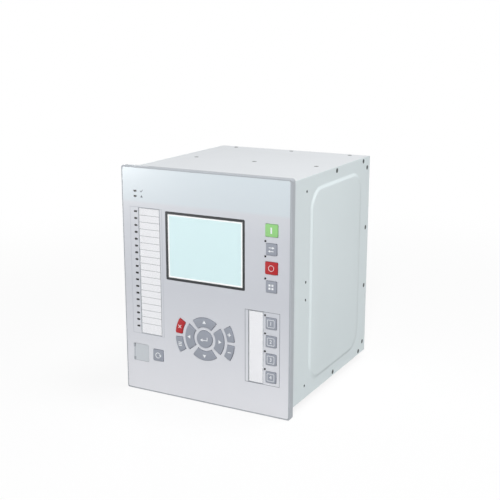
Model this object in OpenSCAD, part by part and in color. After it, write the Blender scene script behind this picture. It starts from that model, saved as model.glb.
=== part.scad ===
// Numerical protection relay, six rack units high and half a rack wide.
// X runs right along the front panel, Y runs from the front panel to the rear terminals, Z is up.
// The origin lies at the middle of the footprint, level with the lower edge of the front panel.

/* [Front panel] */
// Width of the front panel
panel_w = 213.4; // [211:0.1:226]
// Height of the front panel
panel_h = 265.9; // [263:0.1:285]
// Depth of the panel from its front face to its mounting face
panel_depth = 8; // [7:0.5:11]
// Thickness of the panel's face
panel_face = 3; // [2.8:0.1:3.6]
// Corner radius of the panel
panel_corner_r = 3; // [2.5:0.1:5]
// Chamfer along the front edges of the panel
panel_edge = 0.8; // [0.4:0.1:1.2]
// Bare border of the panel around the film
film_border = 1.8; // [1.2:0.1:3]
// Thickness of the printed film
film_t = 0.5; // [0.3:0.05:0.7]

/* [Display] */
// Width of the display that shows
screen_w = 94.6; // [84:0.1:97]
// Height of the display that shows
screen_h = 72.6; // [60:0.1:76]
// Width of the black bezel round the display
bezel_w = 2.9; // [2:0.1:3.6]
// Left edge of the panel to the bezel
screen_left = 57.9; // [57:0.1:59]
// Top edge of the panel to the bezel
screen_top = 47.6; // [44:0.1:50]
// Thickness of the clear lens
lens_t = 2.4; // [1:0.1:2.7]
// Thickness of the display module
display_t = 10; // [7:0.5:12]

/* [Lights and labels] */
// Most alarm lights that the column may hold
light_count = 18; // [12:1:18]
// Space from the port cover up to the last alarm light
light_clear = 21.5; // [20:0.1:24]
// Pitch of the alarm lights
light_pitch = 7.97; // [7:0.01:8.1]
// Left edge of the panel to the lights
light_left = 18.4; // [17.5:0.1:18.6]
// Top edge of the panel to the first alarm light
light_top = 51.4; // [49:0.1:53]
// Top edge of the panel to the first status light
status_top = 27.9; // [25:0.1:29]
// Pitch of the two status lights
status_pitch = 6.1; // [5:0.1:7]
// Width of a light
light_w = 4.2; // [3.4:0.1:4.6]
// Height of a light
light_h = 2.2; // [1.8:0.1:2.6]
// Width of the alarm label slip
slip_w = 26.6; // [22:0.1:28]
// Left edge of the panel to the alarm label slip
slip_left = 22.9; // [22.7:0.1:23.6]
// Blank end of the alarm slip under the last row
slip_tail = 3.7; // [2:0.1:5]
// Thickness of the label card
slip_t = 0.5; // [0.3:0.05:0.8]

/* [Keys] */
// Height that a key stands above the film
key_proud = 1.4; // [1.2:0.1:2]
// Travel of a key
key_travel = 0.8; // [0.4:0.1:1.2]
// Gap between a key and its hole
key_gap = 0.3; // [0.2:0.05:0.4]
// Width and height of a grey square key
key_side = 12.6; // [11:0.1:13]
// Width of the green and red square keys
wide_key_w = 14.6; // [12:0.1:15]
// Height of the green and red square keys
wide_key_h = 13.5; // [12:0.1:14]
// Pitch of the keys in the right column
key_pitch = 20.45; // [20:0.05:20.8]
// Right edge of the panel to the middle of the key column
key_right = 22.8; // [21.5:0.1:24]
// Lower edge of the panel to the lowest key
key_bottom = 46.7; // [44:0.1:50]
// Chamfer on the top of a key
key_edge = 0.5; // [0.2:0.1:0.8]
// Side of the reset key
reset_side = 13.6; // [11:0.1:14]
// Diameter of a light beside a key
key_light_d = 2.4; // [1.8:0.1:2.6]

/* [Navigation pad] */
// Middle of the pad, right of the middle of the space between the two label slips
pad_offset = 1.05; // [0:0.05:3]
// Lower edge of the panel to the middle of the pad
pad_bottom = 77; // [75:0.1:80]
// Radius of the enter key
enter_r = 10; // [8:0.1:10.4]
// Inner radius of the arrow keys
arrow_in = 14.2; // [13.6:0.1:15.5]
// Outer radius of the arrow keys
arrow_out = 25; // [22:0.1:25.4]
// Half the angle of an arrow key
arrow_half = 37; // [30:1:38]
// Inner radius of the four side keys
side_key_in = 29.2; // [28.8:0.1:31]
// Outer radius of the four side keys
side_key_out = 38; // [35:0.1:38.5]
// Angle from the level line to the near end of a side key
side_key_from = 3.6; // [3.4:0.1:6]
// Angle from the level line to the far end of a side key
side_key_to = 32; // [26:1:34]

/* [Function labels] */
// Left edge of the function slip to the middle of the key column
fslip_reach = 27.2; // [26:0.1:28]
// Width of the function slip
fslip_w = 16.6; // [13:0.1:17]
// Height of the function slip
fslip_h = 81; // [76:0.1:84]
// Lower edge of the panel to the function slip
fslip_bottom = 37.8; // [36:0.1:40]

/* [Service port] */
// Left edge of the panel to the middle of the port cover
port_left = 20.95; // [20:0.1:22]
// Lower edge of the panel to the middle of the port cover
port_bottom = 46.6; // [44:0.1:48]
// Width of the port cover
port_w = 20.6; // [19:0.1:21.5]
// Height of the port cover
port_h = 20.4; // [20.2:0.1:22]
// Thickness of the port cover
port_t = 1.6; // [1.3:0.1:1.8]
// Radius of the cover's hinge barrel
hinge_r = 1.2; // [1.1:0.05:1.2]
// Length of the hinge barrel
barrel_len = 12; // [8:0.5:12]
// Radius of the hinge pin
pin_r = 0.6; // [0.4:0.05:0.7]

/* [Case] */
// Panel front to the rear edge of the case
body_depth = 228; // [215:1:260]
// Overhang of the panel past the case at each side
side_step = 3; // [2.5:0.1:4]
// Overhang of the panel above the case
top_step = 4.5; // [3.5:0.1:6]
// Overhang of the panel below the case
bottom_step = 10; // [8:0.1:12]
// Thickness of the steel sheet
sheet_t = 1.5; // [1.4:0.1:2]
// Depth of the folded edges of the top and bottom covers
fold_h = 9; // [8:0.5:9.5]
// Panel front to the pressed pad on the side plates
pad_front = 55.5; // [52:0.5:65]
// Rear edge of the case to the pressed pad
pad_rear = 29.5; // [26:0.5:40]
// Case top and bottom to the pressed pad
pad_margin = 14.2; // [13:0.1:24]
// Corner radius of the pressed pad
pad_r = 25; // [15:1:34]
// Width of the pad's sloped edge
pad_run = 5.5; // [3:0.5:7]
// Height of the pressed pad
pad_rise = 1.4; // [0.6:0.1:1.8]

/* [Fixings] */
// Panel front to the bracket holes in the side plates
bracket_u = 43.7; // [42:0.1:48]
// Height between the two middle bracket holes
bracket_mid = 20.4; // [16:0.1:26]
// Height between the outer bracket holes
bracket_outer = 221.4; // [214:0.1:221.8]
// Diameter of a bracket hole, tapped M4
bracket_d = 3.3; // [3:0.1:3.6]
// Diameter of the countersunk screw heads
screw_head_d = 5.6; // [5:0.1:6]
// Diameter of the screws' shanks
screw_d = 3; // [2.5:0.1:3.2]
// Spacing of the screws across the covers
cover_screw_x = 80; // [60:1:85]
// Panel front to the middle cross rails
mid_rail_u = 120; // [114:1:130]
// Height of a cross rail
rail_h = 7; // [6.5:0.5:8]
// Depth of a cross rail
rail_d = 12; // [10:0.5:14]

/* [Rear modules] */
// Height that the terminals stand behind the case
rear_proud = 14; // [12:0.5:18]
// Number of ways on a terminal plug
plug_ways = 12; // [8:1:14]
// Pitch of the ways on a terminal plug
plug_pitch = 5.08; // [5:0.01:5.2]
// Width of a terminal plug
plug_w = 12; // [11:0.1:13]
// Middle of the case to a terminal plug
plug_offset = 52.5; // [44:0.5:60]
// Number of rows on the current terminal block
current_rows = 12; // [8:1:14]
// Pitch of the rows on the current terminal block
current_pitch = 12; // [10:0.1:12.5]
// Radius of the earth stud
stud_r = 3; // [2.5:0.1:3.5]

/* [Hidden] */
$fn = 48;
eps = 0.01;

// Layers behind the front face, as distances from it
film_gap = 0.1;
board_u = 17;
board_t = 1.6;
switch_h = 4.5;
plunger_h = 0.5;
stem_clear = 0.3;
stem_end = board_u - switch_h - plunger_h - key_travel - stem_clear;
stem_r = 2;
flange_t = 1.2;
flange_w = 0.8;
flange_corner_r = 2;
key_corner_r = 1;

// The whole length, and where the front face lies in it
front_y = -(key_proud + body_depth + rear_proud) / 2 + key_proud;

// The case behind the panel
seat_depth = 1;
seat_gap = 0.3;
seat_land = 2;
case_u = panel_depth - seat_depth;
case_w = panel_w - 2 * side_step;
case_bottom = bottom_step;
case_top = panel_h - top_step;
case_h = case_top - case_bottom;
case_mid_z = (case_top + case_bottom) / 2;
inner_x = case_w / 2 - sheet_t;
inner_top = case_top - sheet_t;
inner_bottom = case_bottom + sheet_t;
front_fold_h = 12;
fit_gap = 0.3;

// Rails, posts and card guides
rear_rail_u = body_depth - sheet_t - rail_d / 2;
rail_gap = 0.2;
post_w = 10;
side_screw_in = 4;
side_screw_u = [mid_rail_u + 5, body_depth - 21];
post_screw_end = 13.35;
post_screw_pitch = (case_h - 2 * post_screw_end) / 3;
post_screw_u = body_depth - 8.3;
guide_h = 6;
guide_w = 5;
guide_slot = 3.2;
guide_front = 60;
module_count = 5;
module_pitch = (2 * inner_x - 1.2) / module_count;
card_t = 1.6;
card_top = inner_top - rail_h - guide_h + guide_slot - fit_gap;
card_bottom = inner_bottom + rail_h + guide_h - guide_slot + fit_gap;
backplane_u = 40;
backplane_t = 2.4;
socket_d = 10.6;
socket_h = 94;
socket_w = 10;
card_front = backplane_u + backplane_t + socket_d + fit_gap;

// Rear face
plate_gap = 0.4;
plug_h = plug_ways * plug_pitch + 4;
plug_hole = 3.2;
well_d = 3.4;
well_depth = 3;
wire_depth = 9;
current_well_d = 3.9;
current_well_depth = 6;
block_lift = 14;
header_d = 14;
block_w = 34;
block_h = current_rows * current_pitch + 6;
port_body_w = 16;
port_body_h = 14;
jack_w = 11.8;
jack_h = 8.4;
jack_depth = 12;
latch_w = 3.4;
latch_h = 1.6;
latch_lap = 0.1;
network_drop = 34;
network_pitch = 28;
network_z = [case_mid_z - network_drop, case_mid_z - network_drop - network_pitch];
network_depth = 21;
stud_rise = 32;
stud_z = case_bottom + stud_rise;
washer_w = 3;
washer_t = 1.2;
nut_h = 5;
nut_af = 10;

// Main parts on the cards, each as its depth along the case and its size
part_u = 150;
part_step = 45;
choke_w = 24;
choke_d = 34;
choke_h = 40;
bank_d = 50;
bank_h = 60;
chip_t = 3;
chip_side = 32;
input_side = 16;
input_pitch = 24;
transformer_w = 22;
transformer_side = 34;
transformer_pitch = 44;
coil_w = 15;
coil_d = 28;
coil_h = 12;
coil_pitch = 26;

// Places on the front panel
light_x = left_x(light_left);
first_light_z = panel_h - light_top;
light_room = first_light_z - light_clear - port_bottom - port_h / 2;
rows = min(light_count, floor(light_room / light_pitch) + 1);
last_light_z = first_light_z - (rows - 1) * light_pitch;
first_status_z = panel_h - status_top;
bar_w = light_w + 1.6;
bar_flange = 1.2;
slip_x = left_x(slip_left + slip_w / 2);
slip_top_z = first_light_z + light_pitch / 2;
slip_bottom_z = last_light_z - light_pitch / 2 - slip_tail;
slip_h = slip_top_z - slip_bottom_z;
slip_z = (slip_top_z + slip_bottom_z) / 2;
window_lap = 1;
window_gap = 0.05;
pocket_depth = slip_t + 0.1;
key_x = panel_w / 2 - key_right;
fslip_x = key_x - fslip_reach + fslip_w / 2;
fslip_z = fslip_bottom + fslip_h / 2;
pad_x = (slip_x + slip_w / 2 + fslip_x - fslip_w / 2) / 2 + pad_offset;
pad_z = pad_bottom;
reset_x = left_x(44.95);
reset_z = 47.2;
port_x = left_x(port_left);
port_z = port_bottom;
bezel_outer_w = screen_w + 2 * bezel_w;
bezel_outer_h = screen_h + 2 * bezel_w;
screen_x = left_x(screen_left + bezel_outer_w / 2);
screen_z = panel_h - screen_top - bezel_outer_h / 2;
display_lap = 1.5;
screen_corner_r = 1.5;
port_corner_r = 2;
groove_w = 0.5;
groove_d = 0.2;
tab_half = 11;
tab_drop = 6.4;
tab_r = (tab_half * tab_half + tab_drop * tab_drop) / (2 * tab_drop);
frame_margin = 4;
light_offset = [-7.6, 8.3];
light_rows = [[3, 1], [2, 1], [1, 1], [0, 1], [5, 1], [7, 1], [7, -1]];
ear_len = 3.5;
hinge_x = port_x - port_w / 2 + hinge_r;
hinge_play = 0.06;
pin_hold = 0.02;
boss_r = 3.5;
boss_hole_r = 1.25;
board_bosses = [
    [left_x(36), panel_h - 20.9], [left_x(36), 140], [left_x(36), 66],
    [panel_w / 2 - 41.4, panel_h - 20.9], [panel_w / 2 - 41.4, 130], [panel_w / 2 - 41.4, 28]
];
case_boss_x = 70;
case_boss_in = 8;
case_boss_z = [inner_top - case_boss_in, inner_bottom + case_boss_in];
case_bosses = [for (s = [-1, 1], z = case_boss_z) [s * case_boss_x, z]];
fixing_head_r = 2.75;
fixing_head_h = 2;

// Distance from the panel's left edge, as an X
function left_x(d) = -panel_w / 2 + d;
// Height of a place in the right key column, counted from the lowest
function row_z(n) = key_bottom + n * key_pitch;
// X of a rear module
function module_x(i) = (i - (module_count - 1) / 2) * module_pitch;
// X of a module's circuit card
function card_x(i) = module_x(i) - plug_w / 2 - card_t;
// Middle of a ring-shaped key
function ring_mid(r_in, r_out, a) = [pad_x + cos(a) * (r_in + r_out) / 2, pad_z + sin(a) * (r_in + r_out) / 2];

side_key_mid = (side_key_from + side_key_to) / 2;
arrow_angles = [0, 90, 180, 270];
side_angles = [side_key_mid, 180 - side_key_mid, 180 + side_key_mid, -side_key_mid];
side_half = (side_key_to - side_key_from) / 2;
column_rows = [0, 1, 2, 3, 5, 6, 7, 8];
key_places = concat(
    [for (n = column_rows) [key_x, row_z(n)]],
    [[pad_x, pad_z], [reset_x, reset_z]],
    [for (a = arrow_angles) ring_mid(arrow_in, arrow_out, a)],
    [for (a = side_angles) ring_mid(side_key_in, side_key_out, a)]
);
plug_places = [[0, 1], [0, -1], [1, 1], [2, 1], [2, -1], [3, 1], [3, -1]];

// Frames

// From the front face's own frame to the part's frame
module place() translate([0, front_y, 0]) children();
// A frame on the front face: x right, y up, z out towards the reader
module face_frame(x = 0, z = 0, u = 0) place() translate([x, u, z]) rotate([90, 0, 0]) children();
// A frame on the rear: x along the part's X, y up, z out to the rear
module rear_frame(x = 0, z = 0, u = 0)
    place() translate([x, u, z]) mirror([0, 1, 0]) rotate([90, 0, 0]) children();
// A frame on the right side plate: x to the rear, y up, z out to the right
module side_frame(u = 0, z = 0, x = 0) place() translate([x, u, z]) rotate([90, 0, 90]) children();

// Shared shapes

module rounded_rect(w, h, r) {
    square([w - 2 * r, h], center = true);
    square([w, h - 2 * r], center = true);
    for (x = [-1, 1], y = [-1, 1])
        translate([x * (w / 2 - r), y * (h / 2 - r)]) circle(r);
}

module slot_shape(w, h) {
    square([w - h, h], center = true);
    for (x = [-1, 1]) translate([x * (w - h) / 2, 0]) circle(h / 2);
}

// A wedge from the middle outwards between two angles, less than half a turn apart
module wedge(far, a0, a1) {
    mid = (a0 + a1) / 2;
    polygon([
        [0, 0], far * [cos(a0), sin(a0)], 1.5 * far * [cos(mid), sin(mid)], far * [cos(a1), sin(a1)]
    ]);
}

// A piece of a ring between two angles
module ring_sector(r_in, r_out, a0, a1) intersection() {
    difference() {
        circle(r_out);
        circle(r_in);
    }
    wedge(2 * r_out, a0, a1);
}

// Outline of a block seen from its side, with its two top corners cut off
module chamfer_profile(w, z0, z1, edge)
    polygon([
        [-w / 2, z0], [w / 2, z0], [w / 2, z1 - edge], [w / 2 - edge, z1],
        [edge - w / 2, z1], [-w / 2, z1 - edge]
    ]);

// A rounded block from z0 to z1 with chamfered top edges
module softened_block(w, h, r, z0, z1, edge)
    intersection() {
        translate([0, 0, z0]) linear_extrude(z1 - z0) rounded_rect(w, h, r);
        rotate([90, 0, 0]) linear_extrude(h + 2, center = true) chamfer_profile(w, z0, z1, edge);
        rotate([90, 0, 90]) linear_extrude(w + 2, center = true) chamfer_profile(h, z0, z1, edge);
    }

// A raised pad with sloped edges and round corners, w by h at its foot
module pressed_pad(w, h, r, run, rise) {
    for (x = [-1, 1], y = [-1, 1])
        translate([x * (w / 2 - r), y * (h / 2 - r), 0]) cylinder(h = rise, r1 = r, r2 = r - run);
    rotate([90, 0, 90]) linear_extrude(w - 2 * r, center = true)
        polygon([[-h / 2, 0], [h / 2, 0], [h / 2 - run, rise], [run - h / 2, rise]]);
    rotate([90, 0, 0]) linear_extrude(h - 2 * r, center = true)
        polygon([[-w / 2, 0], [w / 2, 0], [w / 2 - run, rise], [run - w / 2, rise]]);
}

// A countersunk screw, or its hole when grown, with its head at z 0 and its shank down
module countersunk(len, grow = 0) {
    head_h = (screw_head_d - screw_d) / 2;
    translate([0, 0, -head_h]) cylinder(h = head_h, r1 = screw_d / 2 + grow, r2 = screw_head_d / 2 + grow);
    translate([0, 0, -len - grow]) cylinder(h = len + grow - head_h + eps, r = screw_d / 2 + grow);
}

// A pan-head screw with its head's seat at z 0 and its shank down
module pan_screw(len, shank_r) {
    cylinder(h = fixing_head_h, r1 = fixing_head_r, r2 = fixing_head_r * 0.8);
    translate([0, 0, -len]) cylinder(h = len + eps, r = shank_r);
}

// Front panel and film

// Outlines of all the keys, grown by a gap
module key_outlines(gap) {
    for (n = [0, 1, 2, 3, 5, 7])
        translate([key_x, row_z(n)]) rounded_rect(key_side + 2 * gap, key_side + 2 * gap, key_corner_r);
    for (n = [6, 8])
        translate([key_x, row_z(n)]) rounded_rect(wide_key_w + 2 * gap, wide_key_h + 2 * gap, key_corner_r);
    translate([reset_x, reset_z]) rounded_rect(reset_side + 2 * gap, reset_side + 2 * gap, key_corner_r);
    translate([pad_x, pad_z]) {
        circle(enter_r + gap);
        for (a = arrow_angles) ring_key_outline(arrow_in, arrow_out, a, arrow_half, gap);
        for (a = side_angles) ring_key_outline(side_key_in, side_key_out, a, side_half, gap);
    }
}

module ring_key_outline(r_in, r_out, a, half, gap) {
    wide = half + asin(2 * gap / (r_in + r_out));
    ring_sector(r_in - gap, r_out + gap, a - wide, a + wide);
}

module key_light_places()
    for (p = light_rows)
        translate([key_x + light_offset[0], row_z(p[0]) + p[1] * light_offset[1]]) children();

module light_places() {
    for (i = [0 : rows - 1]) translate([light_x, first_light_z - i * light_pitch]) children();
    for (i = [0, 1]) translate([light_x, first_status_z - i * status_pitch]) children();
}

// The two light bars seen from the front, grown by a gap
module bar_outlines(gap) {
    translate([light_x, (first_light_z + last_light_z) / 2])
        square([bar_w + 2 * gap, first_light_z - last_light_z + light_h + 2 + 2 * gap], center = true);
    translate([light_x, first_status_z - status_pitch / 2])
        square([bar_w + 2 * gap, status_pitch + light_h + 1.2 + 2 * gap], center = true);
}

module label_places(grow) {
    translate([slip_x, slip_z]) square([slip_w + 2 * grow, slip_h + 2 * grow], center = true);
    translate([fslip_x, fslip_z]) square([fslip_w + 2 * grow, fslip_h + 2 * grow], center = true);
}

module screen_opening() translate([screen_x, screen_z])
    rounded_rect(bezel_outer_w + 2 * film_gap, bezel_outer_h + 2 * film_gap, screen_corner_r + film_gap);

module port_outline(gap)
    translate([port_x, port_z]) rounded_rect(port_w + 2 * gap, port_h + 2 * gap, port_corner_r + gap);

module front_panel() color("#aeb3b8") {
    difference() {
        union() {
            face_frame() panel_shell();
            for (p = board_bosses)
                face_frame(p[0], p[1], board_u) cylinder(h = board_u - panel_face + eps, r = boss_r);
            for (p = case_bosses)
                face_frame(p[0], p[1], case_u) cylinder(h = case_u - panel_face + eps, r = boss_r);
        }
        for (p = board_bosses)
            face_frame(p[0], p[1], board_u + eps) cylinder(h = board_u - panel_face, r = boss_hole_r);
        for (p = case_bosses)
            face_frame(p[0], p[1], case_u + eps) cylinder(h = case_u - panel_face, r = boss_hole_r);
    }
    hinge_ears();
}

module panel_shell() difference() {
    translate([0, panel_h / 2, 0])
        softened_block(panel_w, panel_h, panel_corner_r, -panel_depth, 0, panel_edge);
    // Hollow behind the face, and the step that the case's front edges enter
    translate([0, case_mid_z, -panel_depth - eps])
        linear_extrude(panel_depth - panel_face + eps)
            square([case_w - 2 * seat_land, case_h - 2 * seat_land], center = true);
    translate([0, case_mid_z, -panel_depth - eps])
        linear_extrude(seat_depth + eps) square([case_w + 2 * seat_gap, case_h + 2 * seat_gap], center = true);
    // Shallow bed of the film
    translate([0, panel_h / 2, -film_t]) linear_extrude(film_t + eps)
        film_outline(film_gap);
    // Pockets of the label slips
    translate([0, 0, -film_t - pocket_depth]) linear_extrude(pocket_depth + eps) label_places(film_gap);
    // Openings right through
    translate([0, 0, -panel_face - eps]) linear_extrude(panel_face + 2 * eps) {
        key_outlines(key_gap);
        bar_outlines(film_gap);
        key_light_places() circle(key_light_d / 2 + film_gap);
        screen_opening();
        translate([port_x + hinge_r / 2, port_z]) square([jack_w + 2, jack_h + 3.2], center = true);
    }
    translate([0, 0, -port_t - film_gap]) linear_extrude(port_t + 1) port_outline(key_gap);
}

module film_outline(gap)
    rounded_rect(panel_w - 2 * (film_border - gap), panel_h - 2 * (film_border - gap),
        panel_corner_r - film_border / 2);

// Two ears that hold the cover's hinge pin, standing in the cover's recess
module hinge_ears() difference() {
    for (s = [-1, 1]) face_frame(hinge_x, port_z + s * (barrel_len / 2 + fit_gap + ear_len / 2)) {
        rotate([90, 0, 0]) cylinder(h = ear_len, r = hinge_r, center = true);
        translate([0, 0, -(port_t + film_gap) / 2 - eps])
            cube([2 * hinge_r, ear_len, port_t + film_gap], center = true);
    }
    face_frame(hinge_x, port_z) rotate([90, 0, 0])
        cylinder(h = port_h + 1, r = pin_r + pin_hold, center = true);
}

module front_film() color("#d9dde2") face_frame() difference() {
    translate([0, 0, -film_t]) linear_extrude(film_t) difference() {
        translate([0, panel_h / 2]) film_outline(0);
        key_outlines(key_gap);
        light_places() slot_shape(light_w + 2 * film_gap, light_h + 2 * film_gap);
        key_light_places() circle(key_light_d / 2 + film_gap);
        label_places(window_lap + window_gap);
        screen_opening();
        port_outline(key_gap);
    }
    translate([0, 0, -groove_d]) linear_extrude(groove_d + eps) film_grooves();
}

// Pressed lines: the frame of the function keys, the frame of the alarm lights, and a thumb arc under each slip
module film_grooves() {
    frame_line(fslip_x - fslip_w / 2 - frame_margin - 1, key_x + key_side / 2 + frame_margin,
        fslip_bottom - 1.3, fslip_bottom + fslip_h + 1.3);
    frame_line(left_x(light_left - 7.7), slip_x + slip_w / 2 + frame_margin,
        slip_bottom_z - 1.3, slip_top_z + 1.3);
    thumb_arc(slip_x, slip_bottom_z - 1.6);
    thumb_arc(fslip_x, fslip_bottom - 1.6);
}

module frame_line(x0, x1, z0, z1) difference() {
    translate([x0, z0]) square([x1 - x0, z1 - z0]);
    translate([x0 + groove_w, z0 + groove_w]) square([x1 - x0 - 2 * groove_w, z1 - z0 - 2 * groove_w]);
}

module thumb_arc(x, z) translate([x, z + tab_r - tab_drop]) intersection() {
    difference() {
        circle(tab_r);
        circle(tab_r - groove_w);
    }
    translate([-tab_half, -tab_r]) square([2 * tab_half, tab_drop]);
}

// Display

module display_bezel() color("#15181b") face_frame(screen_x, screen_z) difference() {
    softened_block(bezel_outer_w, bezel_outer_h, screen_corner_r, -panel_face, -0.1, 0.4);
    translate([0, 0, -panel_face - eps]) linear_extrude(panel_face + 1)
        square([screen_w, screen_h], center = true);
}

module display_lens() color("#dff3f5") face_frame(screen_x, screen_z)
    translate([0, 0, -panel_face]) linear_extrude(lens_t)
        square([screen_w - 2 * film_gap, screen_h - 2 * film_gap], center = true);

module display_module() color("#c9e6ea") face_frame(screen_x, screen_z, panel_face) {
    translate([0, 0, -display_t]) linear_extrude(display_t)
        rounded_rect(bezel_outer_w + 2 * display_lap, bezel_outer_h + 2 * display_lap, 1);
    translate([0, bezel_outer_h / 2 - 8, -display_t - 2]) linear_extrude(2 + eps)
        square([30, 5], center = true);
}

// Labels and lights

module label_windows() color("#eef2f4") face_frame()
    translate([0, 0, -film_t]) linear_extrude(film_t) label_places(window_lap);

module label_slip(x, z, w, h) face_frame(x, z)
    translate([0, 0, -film_t - pocket_depth]) linear_extrude(slip_t) square([w, h], center = true);

module alarm_label_slip() color("#f7f7f5") label_slip(slip_x, slip_z, slip_w, slip_h);

module function_label_slip() color("#f7f7f5") label_slip(fslip_x, fslip_z, fslip_w, fslip_h);

module indicator_lights() color("#2a2628") face_frame() {
    translate([0, 0, -film_t]) linear_extrude(film_t + 0.2) light_places() slot_shape(light_w, light_h);
    translate([0, 0, -panel_face]) linear_extrude(panel_face - film_t) bar_outlines(0);
    translate([0, 0, -panel_face - bar_flange]) linear_extrude(bar_flange) bar_outlines(1);
    key_light_places() translate([0, 0, -panel_face - 2]) {
        cylinder(h = panel_face + 2.2, d = key_light_d);
        cylinder(h = 2, d = key_light_d + 0.4);
    }
}

// Keys

module square_key(w, h, x, z) face_frame(x, z) {
    softened_block(w, h, key_corner_r, -panel_face - flange_t, key_proud, key_edge);
    translate([0, 0, -panel_face - flange_t]) linear_extrude(flange_t)
        rounded_rect(w + 2 * flange_w, h + 2 * flange_w, flange_corner_r);
    key_stem();
}

module key_stem() translate([0, 0, -stem_end]) cylinder(h = stem_end - panel_face, r = stem_r);

// Section of a ring-shaped key, cut along a radius, from inside its flange to its top
module ring_section(r_in, r_out)
    polygon([
        [r_in, -panel_face - flange_t / 2], [r_out, -panel_face - flange_t / 2], [r_out, key_proud - key_edge],
        [r_out - key_edge, key_proud], [r_in + key_edge, key_proud], [r_in, key_proud - key_edge]
    ]);

module ring_key(r_in, r_out, a, half) {
    flange_half = half + asin(2 * flange_w / (r_in + r_out));
    mid = (r_in + r_out) / 2;
    face_frame(pad_x, pad_z) rotate([0, 0, a]) {
        intersection() {
            rotate([0, 0, 180]) rotate_extrude() ring_section(r_in, r_out);
            translate([0, 0, -stem_end]) linear_extrude(stem_end + key_proud + 1) wedge(2 * r_out, -half, half);
        }
        translate([0, 0, -panel_face - flange_t]) linear_extrude(flange_t)
            rotate(180) ring_sector(r_in - flange_w, r_out + flange_w, 180 - flange_half, 180 + flange_half);
        translate([mid, 0, 0]) key_stem();
    }
}

module close_key() color("#8fd67a") square_key(wide_key_w, wide_key_h, key_x, row_z(8));
module mode_key() color("#9a9ba8") square_key(key_side, key_side, key_x, row_z(7));
module open_key() color("#c4161c") square_key(wide_key_w, wide_key_h, key_x, row_z(6));
module option_key() color("#9a9ba8") square_key(key_side, key_side, key_x, row_z(5));
module function_key(n) color("#9a9ba8") square_key(key_side, key_side, key_x, row_z(4 - n));
module reset_key() color("#a6a8b2") square_key(reset_side, reset_side, reset_x, reset_z);

module enter_key() color("#9c9daa") face_frame(pad_x, pad_z) {
    rotate_extrude() polygon([
        [0, -panel_face - flange_t], [enter_r, -panel_face - flange_t], [enter_r, key_proud - key_edge],
        [enter_r - key_edge, key_proud], [0, key_proud]
    ]);
    translate([0, 0, -panel_face - flange_t]) cylinder(h = flange_t, r = enter_r + flange_w);
    key_stem();
}

module arrow_key(a) color("#9a9ba8") ring_key(arrow_in, arrow_out, a, arrow_half);
module side_key(i, c) color(c) ring_key(side_key_in, side_key_out, side_angles[i], side_half);

// Service port

module port_cover() color("#c4ccc9") difference() {
    union() {
        face_frame() translate([0, 0, -port_t]) linear_extrude(port_t) difference() {
            intersection() {
                port_outline(0);
                translate([hinge_x, port_z - port_h / 2]) square([port_w, port_h]);
            }
            for (s = [-1, 1])
                translate([hinge_x, port_z + s * (barrel_len / 2 + fit_gap + ear_len)])
                    square([2 * (hinge_r + fit_gap), 2 * (ear_len + fit_gap)], center = true);
        }
        face_frame(hinge_x, port_z) rotate([90, 0, 0]) cylinder(h = barrel_len, r = hinge_r, center = true);
    }
    face_frame(hinge_x, port_z) rotate([90, 0, 0])
        cylinder(h = barrel_len + 1, r = pin_r + hinge_play, center = true);
}

module port_hinge_pin() color("#b8bcc0") face_frame(hinge_x, port_z) rotate([90, 0, 0])
    cylinder(h = barrel_len + 2 * (fit_gap + ear_len), r = pin_r, center = true);

// A moulded data socket, its mouth at z 0 and its body down to -depth
module data_socket(depth) difference() {
    translate([0, 0, -depth]) linear_extrude(depth) square([port_body_w, port_body_h], center = true);
    translate([0, 0, -jack_depth]) linear_extrude(jack_depth + eps) {
        square([jack_w, jack_h], center = true);
        translate([0, latch_lap - (jack_h + latch_h) / 2]) square([latch_w, latch_h], center = true);
    }
}

module front_port() color("#1c1e20") face_frame(port_x + hinge_r / 2, port_z, panel_face + fit_gap)
    data_socket(board_u - panel_face - fit_gap);

// Circuit boards at the front

module hmi_board() color("#1f6b3a") difference() {
    union() {
        face_frame(0, 0, board_u + board_t) linear_extrude(board_t)
            translate([0, case_mid_z]) square([2 * inner_x - 16, case_h - 26], center = true);
        face_frame(-40, case_mid_z + 60, board_u + board_t + 2.2)
            linear_extrude(2.2 + eps) square(22, center = true);
        face_frame(30, case_mid_z - 20, board_u + board_t + 9)
            linear_extrude(9 + eps) square([50, 9], center = true);
    }
    for (p = board_bosses)
        face_frame(p[0], p[1], board_u + board_t + 1) cylinder(h = board_t + 2, r = boss_hole_r + 0.35);
}

module key_switches() color("#2b2b2d") for (p = key_places) face_frame(p[0], p[1], board_u) {
    linear_extrude(switch_h) square(6, center = true);
    cylinder(h = switch_h + plunger_h, r = 1.7);
}

module panel_screws() color("#c8ccd0") {
    for (p = board_bosses) rear_frame(p[0], p[1], board_u + board_t) pan_screw(8, boss_hole_r - 0.05);
    for (p = case_bosses) rear_frame(p[0], p[1], case_u + sheet_t) pan_screw(4.5, boss_hole_r - 0.05);
}

// Case

module right_plate() {
    pad_len = body_depth - pad_rear - pad_front;
    pad_u = pad_front + pad_len / 2;
    pad_h = case_h - 2 * pad_margin;
    difference() {
        union() {
            side_frame(0, 0, inner_x) linear_extrude(sheet_t)
                translate([case_u, case_bottom]) square([body_depth - case_u, case_h]);
            side_frame(pad_u, case_mid_z, inner_x + sheet_t)
                pressed_pad(pad_len, pad_h, pad_r, pad_run, pad_rise);
            bracket_places() translate([0, 0, -2.5]) cylinder(h = 2.5 + eps, r = 3.5);
        }
        side_frame(pad_u, case_mid_z, inner_x - eps)
            pressed_pad(pad_len, pad_h, pad_r, pad_run, pad_rise);
        bracket_places() translate([0, 0, -5]) cylinder(h = 10, d = bracket_d);
        side_screw_places() countersunk(10, 0.1);
    }
}

// The bracket holes of the right side plate, at its inner face
module bracket_places()
    for (d = [bracket_mid, bracket_outer], s = [-1, 1])
        side_frame(bracket_u, case_mid_z + s * d / 2, inner_x) children();

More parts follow.
